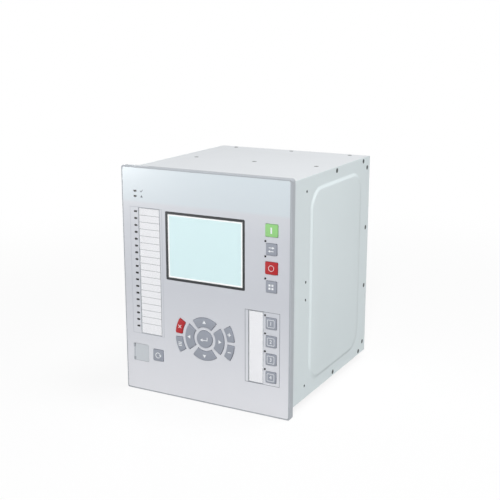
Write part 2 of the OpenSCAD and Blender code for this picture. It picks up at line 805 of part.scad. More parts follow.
// The countersunk screws of the right side plate, at its outer face
module side_screw_places() {
    for (u = side_screw_u, z = [case_top - side_screw_in, case_bottom + side_screw_in])
        side_frame(u, z, inner_x + sheet_t) children();
    for (k = [-1.5, -0.5, 0.5, 1.5])
        side_frame(post_screw_u, case_mid_z + k * post_screw_pitch, inner_x + sheet_t) children();
}

module right_side_plate() color("#cdd4d4") right_plate();
module left_side_plate() color("#cdd4d4") mirror([1, 0, 0]) right_plate();

// The top cover: a sheet with its two sides and its front folded down, and two lugs for the backplane
module cover_sheet() difference() {
    union() {
        place() translate([-inner_x, case_u, inner_top]) cube([2 * inner_x, body_depth - case_u, sheet_t]);
        for (s = [-1, 1])
            place() translate([s * (inner_x - sheet_t / 2) - sheet_t / 2, case_u, inner_top - fold_h])
                cube([sheet_t, body_depth - sheet_t - rail_d - 2 - case_u, fold_h + eps]);
        place() translate([-inner_x, case_u, inner_top - front_fold_h])
            cube([2 * inner_x, sheet_t, front_fold_h + eps]);
        for (s = [-1, 1])
            place() translate([s * case_boss_x - 8, backplane_u - sheet_t, card_top - 10])
                cube([16, sheet_t, inner_top - card_top + 10 + eps]);
    }
    cover_screw_places() countersunk(10, 0.1);
    mirrored_pair() side_screw_places() translate([0, 0, -10]) cylinder(h = 20, d = screw_d + 0.2);
    for (s = [-1, 1]) rear_frame(s * case_boss_x, inner_top - case_boss_in, case_u - 1)
        cylinder(h = sheet_t + 2, r = boss_hole_r + 0.35);
}

module mirrored_pair() {
    children();
    mirror([1, 0, 0]) children();
}

// The six screws of the top cover, at its outer face
module cover_screw_places()
    for (x = [-cover_screw_x, 0, cover_screw_x], u = [mid_rail_u, rear_rail_u])
        place() translate([x, u, case_top]) children();

// Turns the top of the case into its bottom
module upside_down() translate([0, 0, 2 * case_mid_z]) mirror([0, 0, 1]) children();

module top_cover() color("#dfe3e3") cover_sheet();
module bottom_cover() color("#dfe3e3") upside_down() cover_sheet();

module rail_pair() difference() {
    union() {
        place() translate([-inner_x + sheet_t + rail_gap, mid_rail_u - rail_d / 2, inner_top - rail_h])
            cube([2 * (inner_x - sheet_t - rail_gap), rail_d, rail_h]);
        place() translate([-inner_x + rail_gap, rear_rail_u - rail_d / 2, inner_top - rail_h])
            cube([2 * (inner_x - rail_gap), rail_d, rail_h]);
    }
    cover_screw_places() translate([0, 0, -rail_h - sheet_t - 1])
        cylinder(h = rail_h + sheet_t + 2, d = screw_d + 0.2);
    mirrored_pair() side_screw_places() translate([0, 0, -12]) cylinder(h = 14, d = screw_d + 0.2);
    for (i = [0 : module_count - 1]) rear_frame(module_x(i), inner_top - rail_h / 2, body_depth - 7)
        cylinder(h = 12, d = screw_d + 0.2);
}

module cross_rails() color("#c3c7ca") {
    rail_pair();
    upside_down() rail_pair();
}

module rear_posts() color("#c3c7ca") mirrored_pair() difference() {
    place() translate([inner_x - post_w, rear_rail_u - rail_d / 2, inner_bottom + rail_h + rail_gap])
        cube([post_w - eps, rail_d, inner_top - inner_bottom - 2 * rail_h - 2 * rail_gap]);
    side_screw_places() translate([0, 0, -12]) cylinder(h = 14, d = screw_d + 0.2);
}

module guide_row() for (i = [0 : module_count - 1]) difference() {
    place() translate([card_x(i) + card_t / 2 - guide_w / 2, guide_front, inner_top - rail_h - guide_h])
        cube([guide_w, body_depth - sheet_t - guide_front, guide_h]);
    place() translate([card_x(i) - fit_gap, guide_front - 1, inner_top - rail_h - guide_h - 1])
        cube([card_t + 2 * fit_gap, body_depth, guide_slot + 1]);
}

module card_guides() color("#3a3d40") {
    guide_row();
    upside_down() guide_row();
}

module case_screws() color("#9aa0a3") {
    cover_screw_places() countersunk(8);
    upside_down() cover_screw_places() countersunk(8);
    mirrored_pair() side_screw_places() countersunk(6);
}

module backplane() color("#1f6b3a") {
    rear_frame(0, case_mid_z, backplane_u) linear_extrude(backplane_t)
        square([2 * inner_x - 10, card_top - card_bottom - 2], center = true);
    for (i = [0 : module_count - 1], z = [-1, 1])
        rear_frame(card_x(i) + card_t / 2, case_mid_z + z * 54, backplane_u + backplane_t - eps)
            linear_extrude(socket_d + eps) square([socket_w, socket_h], center = true);
}

// Rear modules

module blank_plate(i) rear_frame(module_x(i), (inner_top + inner_bottom) / 2, body_depth - sheet_t)
    linear_extrude(sheet_t)
        square([module_pitch - plate_gap, inner_top - inner_bottom - 2 * fit_gap], center = true);

module plate(i) difference() {
    blank_plate(i);
    for (z = [inner_top - rail_h / 2, inner_bottom + rail_h / 2])
        rear_frame(module_x(i), z, body_depth - sheet_t - 1) cylinder(h = sheet_t + 2, d = screw_d + 0.4);
    for (p = plug_places) if (p[0] == i)
        rear_frame(module_x(i), case_mid_z + p[1] * plug_offset, body_depth - sheet_t - 1)
            linear_extrude(sheet_t + 2) square([plug_w + 2 * fit_gap, plug_h + 2 * fit_gap], center = true);
    children();
}

module power_plate() color("#c9cfd0") plate(0);
module processor_plate() color("#c9cfd0") plate(1) for (z = network_z)
    rear_frame(network_x(), z, body_depth - sheet_t - 1) linear_extrude(sheet_t + 2)
        square([port_body_w + 2 * fit_gap, port_body_h + 2 * fit_gap], center = true);
module input_plate() color("#c9cfd0") plate(2);
module output_plate() color("#c9cfd0") plate(3);
module analog_plate() color("#c9cfd0") plate(4);

function network_x() = card_x(1) + card_t + port_body_w / 2;

// A module's card with the sockets of its terminal plugs
module card(i) {
    place() translate([card_x(i), card_front, card_bottom])
        cube([card_t, body_depth - sheet_t - fit_gap - card_front, card_top - card_bottom]);
    for (p = plug_places) if (p[0] == i)
        place() translate([card_x(i) + card_t - eps, body_depth - header_d,
            case_mid_z + p[1] * plug_offset - plug_h / 2])
            cube([plug_w, header_d, plug_h]);
}

// A boxy component on the face of a module's card
module component(i, u, z, size)
    place() translate([card_x(i) + card_t - eps, u - size[1] / 2, z - size[2] / 2]) cube(size);

module power_board() color("#1f6b3a") {
    card(0);
    component(0, part_u, case_mid_z + choke_h, [choke_w, choke_d, choke_h]);
    component(0, part_u, case_mid_z - choke_h, [choke_w, bank_d, choke_h]);
    component(0, part_u - part_step, case_mid_z, [choke_w, choke_d, bank_h]);
}
module processor_board() color("#1f6b3a") {
    card(1);
    component(1, part_u - part_step / 2, case_mid_z + chip_side, [chip_t, chip_side, chip_side]);
    component(1, part_u + part_step / 2, case_mid_z - chip_side, [chip_t, chip_side, chip_side]);
}
module input_board() color("#1f6b3a") {
    card(2);
    for (k = [-3.5 : 3.5])
        component(2, part_u + part_step / 2, case_mid_z + k * input_pitch, [chip_t, input_side, input_side]);
}
module output_board() color("#1f6b3a") {
    card(3);
    component(3, part_u - part_step, case_mid_z, [chip_t, chip_side, bank_h]);
}
module analog_board() color("#1f6b3a") {
    card(4);
    component(4, part_u - 1.5 * part_step, case_mid_z, [chip_t, chip_side, chip_side]);
}

module input_transformers() color("#3c4650")
    for (u = [part_u - part_step / 2, part_u + part_step / 2], k = [-1.5, -0.5, 0.5, 1.5])
        place() translate([card_x(4) + card_t, u - transformer_side / 2,
            case_mid_z + k * transformer_pitch - transformer_side / 2])
            cube([transformer_w, transformer_side, transformer_side]);

module output_relays() color("#2d5b8c")
    for (u = [part_u, part_u + part_step * 0.75], k = [-2.5 : 2.5])
        place() translate([card_x(3) + card_t, u - coil_d / 2, case_mid_z + k * coil_pitch - coil_h / 2])
            cube([coil_w, coil_d, coil_h]);

// A screw-terminal plug with a wire hole and a screw well for each way
module terminal_plug() difference() {
    softened_block(plug_w, plug_h, 0.8, 0, rear_proud, 0.8);
    for (k = [0 : plug_ways - 1]) translate([0, (k - (plug_ways - 1) / 2) * plug_pitch, 0]) {
        translate([-plug_w / 4, 0, rear_proud - wire_depth])
            linear_extrude(wire_depth + 1) square(plug_hole, center = true);
        translate([plug_w / 4, 0, rear_proud - well_depth]) cylinder(h = well_depth + 1, d = well_d);
    }
}

module terminal_plugs() color("#22342c") for (p = plug_places)
    rear_frame(module_x(p[0]), case_mid_z + p[1] * plug_offset, body_depth) terminal_plug();

module current_terminals() color("#26292b")
    rear_frame(module_x(4), case_mid_z + block_lift, body_depth) difference() {
    softened_block(block_w, block_h, 1, 0, rear_proud, 1);
    for (k = [0 : current_rows - 1], x = [-1, 1])
        translate([x * block_w / 4, (k - (current_rows - 1) / 2) * current_pitch,
            rear_proud - current_well_depth])
            cylinder(h = current_well_depth + 1, d = current_well_d);
}

module network_ports() color("#b9bec2") for (z = network_z)
    rear_frame(network_x(), z, body_depth + 0.5) data_socket(network_depth);

module module_screws() color("#b4b9bc") for (i = [0 : module_count - 1])
    for (z = [inner_top - rail_h / 2, inner_bottom + rail_h / 2])
        rear_frame(module_x(i), z, body_depth) pan_screw(5, screw_d / 2);

module earth_stud() color("#c8b060") rear_frame(module_x(4), stud_z, body_depth) {
    cylinder(h = rear_proud, r = stud_r);
    cylinder(h = washer_t, r = stud_r + washer_w);
    translate([0, 0, washer_t]) cylinder(h = nut_h, d = nut_af / cos(30), $fn = 6);
}

front_panel();
front_film();
display_bezel();
display_lens();
display_module();
label_windows();
alarm_label_slip();
function_label_slip();
indicator_lights();
close_key();
mode_key();
open_key();
option_key();
function_key(1);  // function_key_1
function_key(2);  // function_key_2
function_key(3);  // function_key_3
function_key(4);  // function_key_4
enter_key();
arrow_key(90);  // up_key
arrow_key(270);  // down_key
arrow_key(180);  // left_key
arrow_key(0);  // right_key
side_key(1, "#d5383c");  // escape_key
side_key(2, "#9a9ba8");  // group_key
side_key(0, "#9a9ba8");  // plus_key
side_key(3, "#9a9ba8");  // minus_key
reset_key();
port_cover();
port_hinge_pin();
front_port();
hmi_board();
key_switches();
panel_screws();
left_side_plate();
right_side_plate();
top_cover();
bottom_cover();
cross_rails();
rear_posts();
card_guides();
case_screws();
backplane();
power_plate();
processor_plate();
input_plate();
output_plate();
analog_plate();
power_board();
processor_board();
input_board();
output_board();
analog_board();
input_transformers();
output_relays();
terminal_plugs();
current_terminals();
network_ports();
module_screws();
earth_stud();
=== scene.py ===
# %% [markdown]
# # A protection relay for a switchboard door
#
# The object is a box of painted sheet steel behind a silver front panel with a display, alarm lights,
# two label pockets and a keypad. The solid model carries the construction. This lesson gives it its
# finishes and adds the small pieces that only the eye needs: moulded keys, printed marks, screw heads.

# %% Load the solid model
import math

import bmesh
import bpy
from mathutils import Matrix, Vector


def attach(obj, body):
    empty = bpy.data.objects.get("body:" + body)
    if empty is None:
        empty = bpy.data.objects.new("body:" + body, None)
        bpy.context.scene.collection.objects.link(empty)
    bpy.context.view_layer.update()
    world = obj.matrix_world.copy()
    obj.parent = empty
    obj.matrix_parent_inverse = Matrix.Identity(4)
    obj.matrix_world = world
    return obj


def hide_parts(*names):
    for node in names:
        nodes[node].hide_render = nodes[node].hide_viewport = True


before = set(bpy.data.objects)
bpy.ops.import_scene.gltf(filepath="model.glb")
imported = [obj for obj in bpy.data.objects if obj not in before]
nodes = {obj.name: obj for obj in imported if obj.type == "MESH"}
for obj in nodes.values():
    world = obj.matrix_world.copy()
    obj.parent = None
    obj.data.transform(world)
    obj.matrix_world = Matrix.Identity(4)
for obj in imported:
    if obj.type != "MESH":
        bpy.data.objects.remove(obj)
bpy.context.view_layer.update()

# %% [markdown]
# ## Sizes
#
# The script works in millimetres, as the drawings do, and turns to metres when a piece is finished.
# Places on the panel are measured from its left edge and its lower edge, as someone with a rule would.

# %% Sizes shared with the solid model, in millimetres
MM = 0.001
PANEL_W = 213.4
PANEL_H = 265.9
FRONT = -120.3
PANEL_FACE = 3.0
KEY_PROUD = 1.4
FLANGE_T = 1.2
FLANGE_W = 0.8
STEM_END = 10.9
KEY_COLUMN = PANEL_W / 2 - 22.8
KEY_PITCH = 20.45
LOWEST_KEY = 46.7
PAD = (-PANEL_W / 2 + 107.5, 77.0)
CASE_BOTTOM = 10.0
CASE_TOP = 261.4
CASE_MID = (CASE_TOP + CASE_BOTTOM) / 2
CASE_SIDE = 103.7
CASE_REAR = FRONT + 228.0
REAR_PROUD = 14.0


def from_left(distance):
    return distance - PANEL_W / 2


def row(number):
    return LOWEST_KEY + number * KEY_PITCH


print("key column at x", KEY_COLUMN, "pad at", PAD)

# %% [markdown]
# ## One function for shader nodes
#
# A material is a small graph. This function adds one node, sets its values and links its inputs, so
# each finish below reads as a short list. Colours are written as sRGB hex values, as a colour picker
# shows them, and one function turns them into the linear numbers that the renderer needs.


# %% Colours and shader nodes
def linear(hex_colour, alpha=1.0):
    channels = [int(hex_colour[i : i + 2], 16) / 255 for i in (1, 3, 5)]
    channels = [c / 12.92 if c <= 0.04045 else ((c + 0.055) / 1.055) ** 2.4 for c in channels]
    return (*channels, alpha)


def add(material, kind, settings=None, links=None):
    tree = material.node_tree
    node = tree.nodes.new(kind)
    for key, value in (settings or {}).items():
        if isinstance(key, int) or key in node.inputs:
            node.inputs[key].default_value = value
        else:
            setattr(node, key, value)
    for key, socket in (links or {}).items():
        tree.links.new(socket, node.inputs[key])
    return node


def new_finish(name, colour, roughness, **sockets):
    material = bpy.data.materials.new(name)
    material.use_nodes = True
    shader = material.node_tree.nodes["Principled BSDF"]
    shader.inputs["Base Color"].default_value = linear(colour)
    shader.inputs["Roughness"].default_value = roughness
    for key, value in sockets.items():
        shader.inputs[key.replace("_", " ")].default_value = value
    return material, shader


WHITE = linear("#ffffff")
print("white reads as", WHITE)

# %% [markdown]
# ## Moulded and painted surfaces
#
# Plastic keeps the grain of its mould, and powder paint dries to a fine orange peel. Both are a noise
# that lifts the surface a little and changes its gloss. The grain's size is in millimetres, and Object
# coordinates are in metres, so the noise scale is one over the size in metres. A second noise, forty
# times larger, shifts the colour a little, as pigment does in a real batch. The step that links the
# noises to the shader is a function of its own, because metals need it too.

# %% A surface with a grain
CLOUD_TIMES = 40
GRAIN_SWING = 0.06


def wear(material, shader, colour, roughness, swing, darkest, lift_mm, fine, coarse):
    # The fine noise changes the gloss and lifts the surface, the coarse one changes the colour
    limits = {"To Min": roughness - swing, "To Max": roughness + swing}
    gloss = add(material, "ShaderNodeMapRange", limits, {"Value": fine})
    tint = add(material, "ShaderNodeValToRGB", links={"Fac": coarse})
    base = linear(colour)
    tint.color_ramp.elements[0].color = [c * darkest for c in base[:3]] + [1.0]
    tint.color_ramp.elements[1].color = base
    relief = {"Strength": 1.0, "Distance": lift_mm * MM}
    bump = add(material, "ShaderNodeBump", relief, {"Height": fine})
    links = material.node_tree.links
    links.new(tint.outputs["Color"], shader.inputs["Base Color"])
    links.new(gloss.outputs["Result"], shader.inputs["Roughness"])
    links.new(bump.outputs["Normal"], shader.inputs["Normal"])


def grained(name, colour, roughness, grain_mm, lift_mm, shade=0.05, **sockets):
    material, shader = new_finish(name, colour, roughness, **sockets)
    place = add(material, "ShaderNodeTexCoord").outputs["Object"]
    small = {"Scale": 1 / (grain_mm * MM), "Detail": 2.0}
    large = {"Scale": 1 / (CLOUD_TIMES * grain_mm * MM), "Detail": 3.0}
    grain = add(material, "ShaderNodeTexNoise", small, {"Vector": place}).outputs["Fac"]
    cloud = add(material, "ShaderNodeTexNoise", large, {"Vector": place}).outputs["Fac"]
    wear(material, shader, colour, roughness, GRAIN_SWING, 1 - shade, lift_mm, grain, cloud)
    return material


# Moulded ABS frame of the front: grey and satin, with the fine grain of its mould
panel_plastic = grained("moulded_frame_grey_abs", "#a9aeb4", 0.42, 0.8, 0.02)
# Matt powder coat on folded sheet steel: hardly any highlight and an orange peel of about a millimetre
MATT = {"shade": 0.03, "Specular_IOR_Level": 0.1}
case_paint = grained("case_powder_coat", "#dae3e5", 0.7, 1.1, 0.03, **MATT)
# The same coat on the covers, painted a little lighter and less blue: a lit copy of the side plates'
# coat, standing in for the stronger light on the top
cover_coat_painted_light = grained("lit_copy_of_case_powder_coat", "#e0e3e6", 0.7, 1.1, 0.03, **MATT)
# Moulded ABS keys, soft to the touch: matt, with the spark-eroded grain of the mould
key_grey = grained("key_soft_abs_grey", "#959aa5", 0.5, 0.6, 0.012)
key_red = grained("key_soft_abs_red", "#ad1119", 0.45, 0.6, 0.012)
key_green = grained("key_soft_abs_green", "#92cd80", 0.45, 0.6, 0.012)
# Moulded ABS: black, with a slight sheen
black_plastic = grained("black_moulded_abs", "#1b1e22", 0.4, 0.6, 0.012, shade=0.2)
# Moulded polycarbonate of the service cover: pale grey, a little glossier than the film round it
cover_plastic = grained("moulded_polycarbonate", "#c8cdd2", 0.32, 0.7, 0.01)
# Glass-filled polyamide terminals: dull green
terminal_green = grained("terminal_polyamide_green", "#2f5d48", 0.48, 0.7, 0.015, shade=0.15)
# Smooth polyester housings of the small relays: mid blue
relay_blue = grained("relay_housing_blue_pbt", "#2d5b8c", 0.4, 0.7, 0.012)
# Lacquered glass-fibre board: glossy dark green
board_green = grained("circuit_board_lacquer", "#1f6b3a", 0.35, 0.5, 0.01, shade=0.3)
# Varnish over iron sheets: dark, with a dull metal sheen
varnished_iron = grained(
    "varnished_laminated_iron", "#3b444d", 0.45, 0.7, 0.02, shade=0.2, Metallic=0.3
)
# Uncoated label card: matt white with a faint fibre
label_card = grained("label_card_paper", "#f4f4f7", 0.75, 0.5, 0.01, shade=0.02)
# Screen inks on film and keys: matt, with the faint texture of the mesh that printed them
white_ink = grained("white_screen_ink", "#eceef1", 0.6, 0.3, 0.004, shade=0.02)
grey_ink = grained("grey_screen_ink", "#6f747c", 0.6, 0.3, 0.004)
pale_ink = grained("pale_grey_screen_ink", "#b4b8c0", 0.6, 0.3, 0.004)
print("grained finishes:", len(bpy.data.materials))

# %% [markdown]
# ## Metals
#
# The rear plates are satin aluminium, rolled and then brushed in one direction. A noise that is
# stretched along the brushing direction gives the streaks: it changes the gloss and the colour, and it
# lifts the surface by a hundredth of a millimetre. Real brush lines are about 0.1 mm apart, too fine
# for a picture of this size, so they are drawn about four times coarser. Screws, rails and shields use
# the same graph with other numbers.

# %% Brushed, rolled and plated metal
STREAK_SWING = 0.1
STREAK_DARKEST = 0.9
STREAK_LIFT = 0.01


def brushed(name, colour, roughness, streak_mm, stretch):
    material, shader = new_finish(name, colour, roughness, Metallic=1.0)
    place = add(material, "ShaderNodeTexCoord")
    along = add(material, "ShaderNodeMapping", {"Scale": stretch}, {"Vector": place.outputs["Object"]})
    scale = {"Scale": 1 / (streak_mm * MM), "Detail": 3.0}
    streaks = add(material, "ShaderNodeTexNoise", scale, {"Vector": along.outputs["Vector"]})
    streak = streaks.outputs["Fac"]
    wear(material, shader, colour, roughness, STREAK_SWING, STREAK_DARKEST, STREAK_LIFT, streak, streak)
    return material


EVEN = (1, 1, 1)
BRUSHED_UP = (1, 1, 0.04)
ROLLED_ACROSS = (0.06, 1, 1)
# Brushed and clear-anodised aluminium: pale, with upright streaks and a soft gloss
rear_metal = brushed("brushed_anodised_aluminium", "#c9ced0", 0.42, 0.4, BRUSHED_UP)
# Extruded aluminium rails: die lines along their length
rail_metal = brushed("extruded_aluminium", "#bfc4c7", 0.38, 0.5, ROLLED_ACROSS)
# Zinc-plated and passivated steel: bluish, cloudy, fairly bright
zinc_steel = brushed("zinc_plated_steel", "#a3a9ad", 0.35, 1.5, EVEN)
# Black-passivated screw steel: dark with a dull shine
dark_steel = brushed("black_passivated_steel", "#5a5f62", 0.42, 1.0, EVEN)
# Nickel, turned brass and gold plating: brighter and smoother than the zinc
nickel = brushed("nickel_plated_shield", "#b9bec2", 0.28, 0.8, ROLLED_ACROSS)
brass = brushed("turned_brass", "#c8b060", 0.3, 0.6, EVEN)
gold = brushed("gold_plated_contact", "#d9b45a", 0.25, 0.5, EVEN)
print("finishes with metals:", len(bpy.data.materials))

# %% [markdown]
# ## The pearl film on the front
#
# One sheet of polyester covers the whole front. It is printed from behind with a silver pearl ink, with a
# cooler and lighter band across the top, and its face is satin. Below the printed band the colour is
# darkest at mid height and lighter towards the bottom, which is a painted reflection of the studio, not
# print. The band and the painted reflection follow the height on the panel, so the graph reads the Object
# Z coordinate and sends it through a colour ramp. The pearl flakes are a tenth of a millimetre wide; they
# are drawn at 0.5 mm so that they still show as a faint sparkle in the gloss.

# %% Pearl film
BAND_Z = 226.0
# The band at the top is print; below it the colour is darkest at mid height and lighter towards the
# bottom, a painted reflection
FILM_PRINT_AND_REFLECTION = [
    (0.0, "#e2e3e8"),
    (60.0, "#d4d6dc"),
    (130.0, "#c6c9d0"),
    (200.0, "#c8cbd2"),
    (BAND_Z - 2.0, "#cdd0d6"),
    (BAND_Z + 2.0, "#cdd6dc"),
    (PANEL_H, "#d0dae0"),
]
FLAKE_MM = 0.5
FLAKE_LIFT = 0.004
FILM_GLOSS = {"To Min": 0.3, "To Max": 0.42}
pearl_film, shader = new_finish(
    "pearl_polyester_film", "#cfd1d8", 0.36, Coat_Weight=0.5, Coat_Roughness=0.18
)
place = add(pearl_film, "ShaderNodeTexCoord").outputs["Object"]
height = add(pearl_film, "ShaderNodeSeparateXYZ", links={"Vector": place})
share = add(pearl_film, "ShaderNodeMapRange", {"From Max": PANEL_H * MM}, {"Value": height.outputs["Z"]})
film_print_and_reflection = add(pearl_film, "ShaderNodeValToRGB", links={"Fac": share.outputs["Result"]})
while len(film_print_and_reflection.color_ramp.elements) < len(FILM_PRINT_AND_REFLECTION):
    film_print_and_reflection.color_ramp.elements.new(0.5)
# Stops are sorted again when one moves, so the colours come after all the places
for stop, (z, colour) in zip(film_print_and_reflection.color_ramp.elements, FILM_PRINT_AND_REFLECTION):
    stop.position = z / PANEL_H
for stop, (z, colour) in zip(film_print_and_reflection.color_ramp.elements, FILM_PRINT_AND_REFLECTION):
    stop.color = linear(colour)
flakes = add(pearl_film, "ShaderNodeTexVoronoi", {"Scale": 1 / (FLAKE_MM * MM)}, {"Vector": place})
flake = flakes.outputs["Distance"]
sparkle = add(pearl_film, "ShaderNodeMapRange", FILM_GLOSS, {"Value": flake})
relief = {"Strength": 1.0, "Distance": FLAKE_LIFT * MM}
ripple = add(pearl_film, "ShaderNodeBump", relief, {"Height": flake})
pearl_film.node_tree.links.new(film_print_and_reflection.outputs["Color"], shader.inputs["Base Color"])
pearl_film.node_tree.links.new(sparkle.outputs["Result"], shader.inputs["Roughness"])
pearl_film.node_tree.links.new(ripple.outputs["Normal"], shader.inputs["Normal"])
print("film ramp stops:", len(film_print_and_reflection.color_ramp.elements))

# %% [markdown]
# ## Clear and dark windows, and the lit display
#
# The label windows are clear polyester, the display has an acrylic lens, and the lights have smoked
# lenses that look black while they are off. A clear sheet is mostly a gloss with nothing behind it, so
# a low alpha is enough. The display is a pale liquid-crystal panel with a dim backlight: it adds a
# little light of its own, and its lattice of dots is a checker. The dots are a quarter of a millimetre
# apart and are drawn at 1 mm, very faintly.

# %% Windows, lenses and the display
SHEET_GLOSS = 0.08
WAVE_LIFT = 0.02


def clear_sheet(name, colour, alpha, wave_mm):
    material, shader = new_finish(name, colour, SHEET_GLOSS, IOR=1.5, Alpha=alpha)
    place = add(material, "ShaderNodeTexCoord").outputs["Object"]
    wave = add(material, "ShaderNodeTexNoise", {"Scale": 1 / (wave_mm * MM)}, {"Vector": place})
    relief = {"Strength": 1.0, "Distance": WAVE_LIFT * MM}
    bump = add(material, "ShaderNodeBump", relief, {"Height": wave.outputs["Fac"]})
    material.node_tree.links.new(bump.outputs["Normal"], shader.inputs["Normal"])
    return material


# Clear sheets: almost nothing to see but a sharp gloss with slow waves
window_film = clear_sheet("clear_polyester_window", "#f2f5f7", 0.08, 20)
display_glass = clear_sheet("clear_acrylic_lens", "#eef6f7", 0.1, 40)
# Smoked lenses of the lights: black and glossy
smoked_lens = grained("smoked_polycarbonate", "#101316", 0.22, 0.8, 0.004, shade=0.2, Coat_Weight=0.6)

DOT_MM = 1.0
DOT, DOT_GAP = linear("#d6eef0"), linear("#d3ecef")
# Liquid crystal over a dim backlight: pale blue-green and even
lit_display, shader = new_finish("backlit_liquid_crystal", "#d6eef0", 0.3, Emission_Strength=0.05)
shader.inputs["Emission Color"].default_value = linear("#d8f4f6")
place = add(lit_display, "ShaderNodeTexCoord").outputs["Object"]
lattice = {"Scale": 1 / (DOT_MM * MM), "Color1": DOT, "Color2": DOT_GAP}
dots = add(lit_display, "ShaderNodeTexChecker", lattice, {"Vector": place})
lit_display.node_tree.links.new(dots.outputs["Color"], shader.inputs["Base Color"])
# White ink round the picture. Its glow is partly backlight and partly painted light, which keeps it
# bright in the shade of the bezel
border_ink_painted_glow = grained(
    "border_white_ink_painted_glow", "#fbfdfd", 0.5, 0.3, 0.004, shade=0.02,
    Emission_Strength=0.1, Emission_Color=WHITE,
)
print("finishes in all:", len(bpy.data.materials))

# %% [markdown]
# ## Dressing the solid nodes
#
# Every solid of the model gets the finish of the real piece. Only material slots change here: the
# meshes and their places stay as they came.

# %% Finishes of the solid nodes
NODE_FINISH = {
    panel_plastic: ["front_panel"],
    pearl_film: ["front_film"],
    black_plastic: ["display_bezel", "key_switches", "card_guides", "current_terminals", "front_port"],
    display_glass: ["display_lens"],
    lit_display: ["display_module"],
    window_film: ["label_windows"],
    label_card: ["alarm_label_slip", "function_label_slip"],
    smoked_lens: ["indicator_lights"],
    cover_plastic: ["port_cover"],
    zinc_steel: ["port_hinge_pin", "panel_screws", "module_screws"],
    dark_steel: ["case_screws"],
    board_green: [
        "hmi_board", "backplane", "power_board", "processor_board", "input_board", "output_board",
        "analog_board",
    ],
    case_paint: ["left_side_plate", "right_side_plate"],
    cover_coat_painted_light: ["top_cover", "bottom_cover"],
    rail_metal: ["cross_rails", "rear_posts"],
    rear_metal: ["power_plate", "processor_plate", "input_plate", "output_plate", "analog_plate"],
    varnished_iron: ["input_transformers"],
    relay_blue: ["output_relays"],
    terminal_green: ["terminal_plugs"],
    nickel: ["network_ports"],
    brass: ["earth_stud"],
    key_green: ["close_key"],
    key_red: ["open_key", "escape_key"],
    key_grey: [
        "mode_key", "option_key", "function_key_1", "function_key_2", "function_key_3", "function_key_4",
        "enter_key", "up_key", "down_key", "left_key", "right_key", "group_key", "plus_key", "minus_key",
        "reset_key",
    ],
}
dressed = set()
for finish, names in NODE_FINISH.items():
    for name in names:
        nodes[name].data.materials.clear()
        nodes[name].data.materials.append(finish)
        dressed.add(name)
print("nodes still bare:", sorted(set(nodes) - dressed))

# %% [markdown]
# ## From a bmesh to a piece
#
# New pieces are modelled in a flat local frame, in millimetres: x to the right, y up, z out of the
# surface that they sit on. A matrix for each side of the relay turns that frame into the model's frame.
# The last helper scales to metres, sets sharp edges by angle, and lets the piece ride on its body.

# %% Frames of the sides, and the finishing helper
FACE = Matrix(((1, 0, 0, 0), (0, 0, -1, FRONT), (0, 1, 0, 0), (0, 0, 0, 1)))
REAR = Matrix(((-1, 0, 0, 0), (0, 0, 1, CASE_REAR), (0, 1, 0, 0), (0, 0, 0, 1)))
TOP = Matrix(((1, 0, 0, 0), (0, 1, 0, FRONT), (0, 0, 1, CASE_TOP), (0, 0, 0, 1)))
BOTTOM = Matrix(((1, 0, 0, 0), (0, -1, 0, FRONT), (0, 0, -1, CASE_BOTTOM), (0, 0, 0, 1)))
RIGHT = Matrix(((0, 0, 1, CASE_SIDE), (1, 0, 0, FRONT), (0, 1, 0, 0), (0, 0, 0, 1)))
LEFT = Matrix(((0, 0, -1, -CASE_SIDE), (-1, 0, 0, FRONT), (0, 1, 0, 0), (0, 0, 0, 1)))
SHARP = math.radians(35)


def gather(shapes):
    whole = bmesh.new()
    for shape in shapes:
        step = bpy.data.meshes.new("step")
        shape.to_mesh(step)
        shape.free()
        whole.from_mesh(step)
        bpy.data.meshes.remove(step)
    return whole


def moved(shape, x=0.0, y=0.0, z=0.0, turn=0.0):
    shape.transform(Matrix.Translation((x, y, z)) @ Matrix.Rotation(math.radians(turn), 4, "Z"))
    return shape


def piece(name, shape, finish, body, side=FACE, stands_for=None):
    bmesh.ops.recalc_face_normals(shape, faces=shape.faces)
    shape.transform(Matrix.Scale(MM, 4) @ side)
    mesh = bpy.data.meshes.new(name)
    shape.to_mesh(mesh)
    shape.free()
    mesh.materials.append(finish)
    mesh.shade_smooth()
    mesh.set_sharp_from_angle(angle=SHARP)
    made = bpy.data.objects.new(name, mesh)
    bpy.context.scene.collection.objects.link(made)
    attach(made, body)
    if stands_for:
        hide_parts(stands_for)
    return made


print("frames ready, rear face at y", CASE_REAR)

# %% [markdown]
# ## Four small solids
#
# Keys, prints and contacts come from four shapes. A block is a cube that is scaled and whose upright
# edges may be rounded. A post is a cone with equal ends, which with three sides is a triangle. A ring
# block is a square section that is spun about the middle, so it can be a piece of a ring. An outline is
# a block with its middle taken out.

# %% Shape helpers
# Points that are nearer than this, in millimetres, count as one
TOUCH = 1e-4
CORNER_STEPS = 6
STEP_DEGREES = 5
FEWEST_STEPS = 8


def round_edges(shape, edges, width, segments):
    bmesh.ops.bevel(
        shape, geom=edges, offset=width, offset_type="OFFSET", affect="EDGES", segments=segments,
        profile=0.5, material=-1,
    )


def uprights(shape):
    return [e for e in shape.edges if (e.verts[0].co - e.verts[1].co).xy.length < TOUCH]


def upper_rim(shape):
    top = max(v.co.z for v in shape.verts)
    level = [e for e in shape.edges if all(abs(v.co.z - top) < TOUCH for v in e.verts)]
    return [e for e in level if any(abs(f.normal.z) < 0.5 for f in e.link_faces)]


def block(width, height, bottom, top, corner=0.0):
    shape = bmesh.new()
    bmesh.ops.create_cube(shape, size=1.0)
    bmesh.ops.scale(shape, vec=(width, height, top - bottom), verts=shape.verts)
    bmesh.ops.translate(shape, vec=(0, 0, (top + bottom) / 2), verts=shape.verts)
    if corner:
        round_edges(shape, uprights(shape), corner, CORNER_STEPS)
    return shape


def post(radius, bottom, top, sides=48):
    shape = bmesh.new()
    bmesh.ops.create_cone(
        shape, cap_ends=True, cap_tris=False, segments=sides, radius1=radius, radius2=radius,
        depth=top - bottom,
    )
    bmesh.ops.translate(shape, vec=(0, 0, (top + bottom) / 2), verts=shape.verts)
    return shape


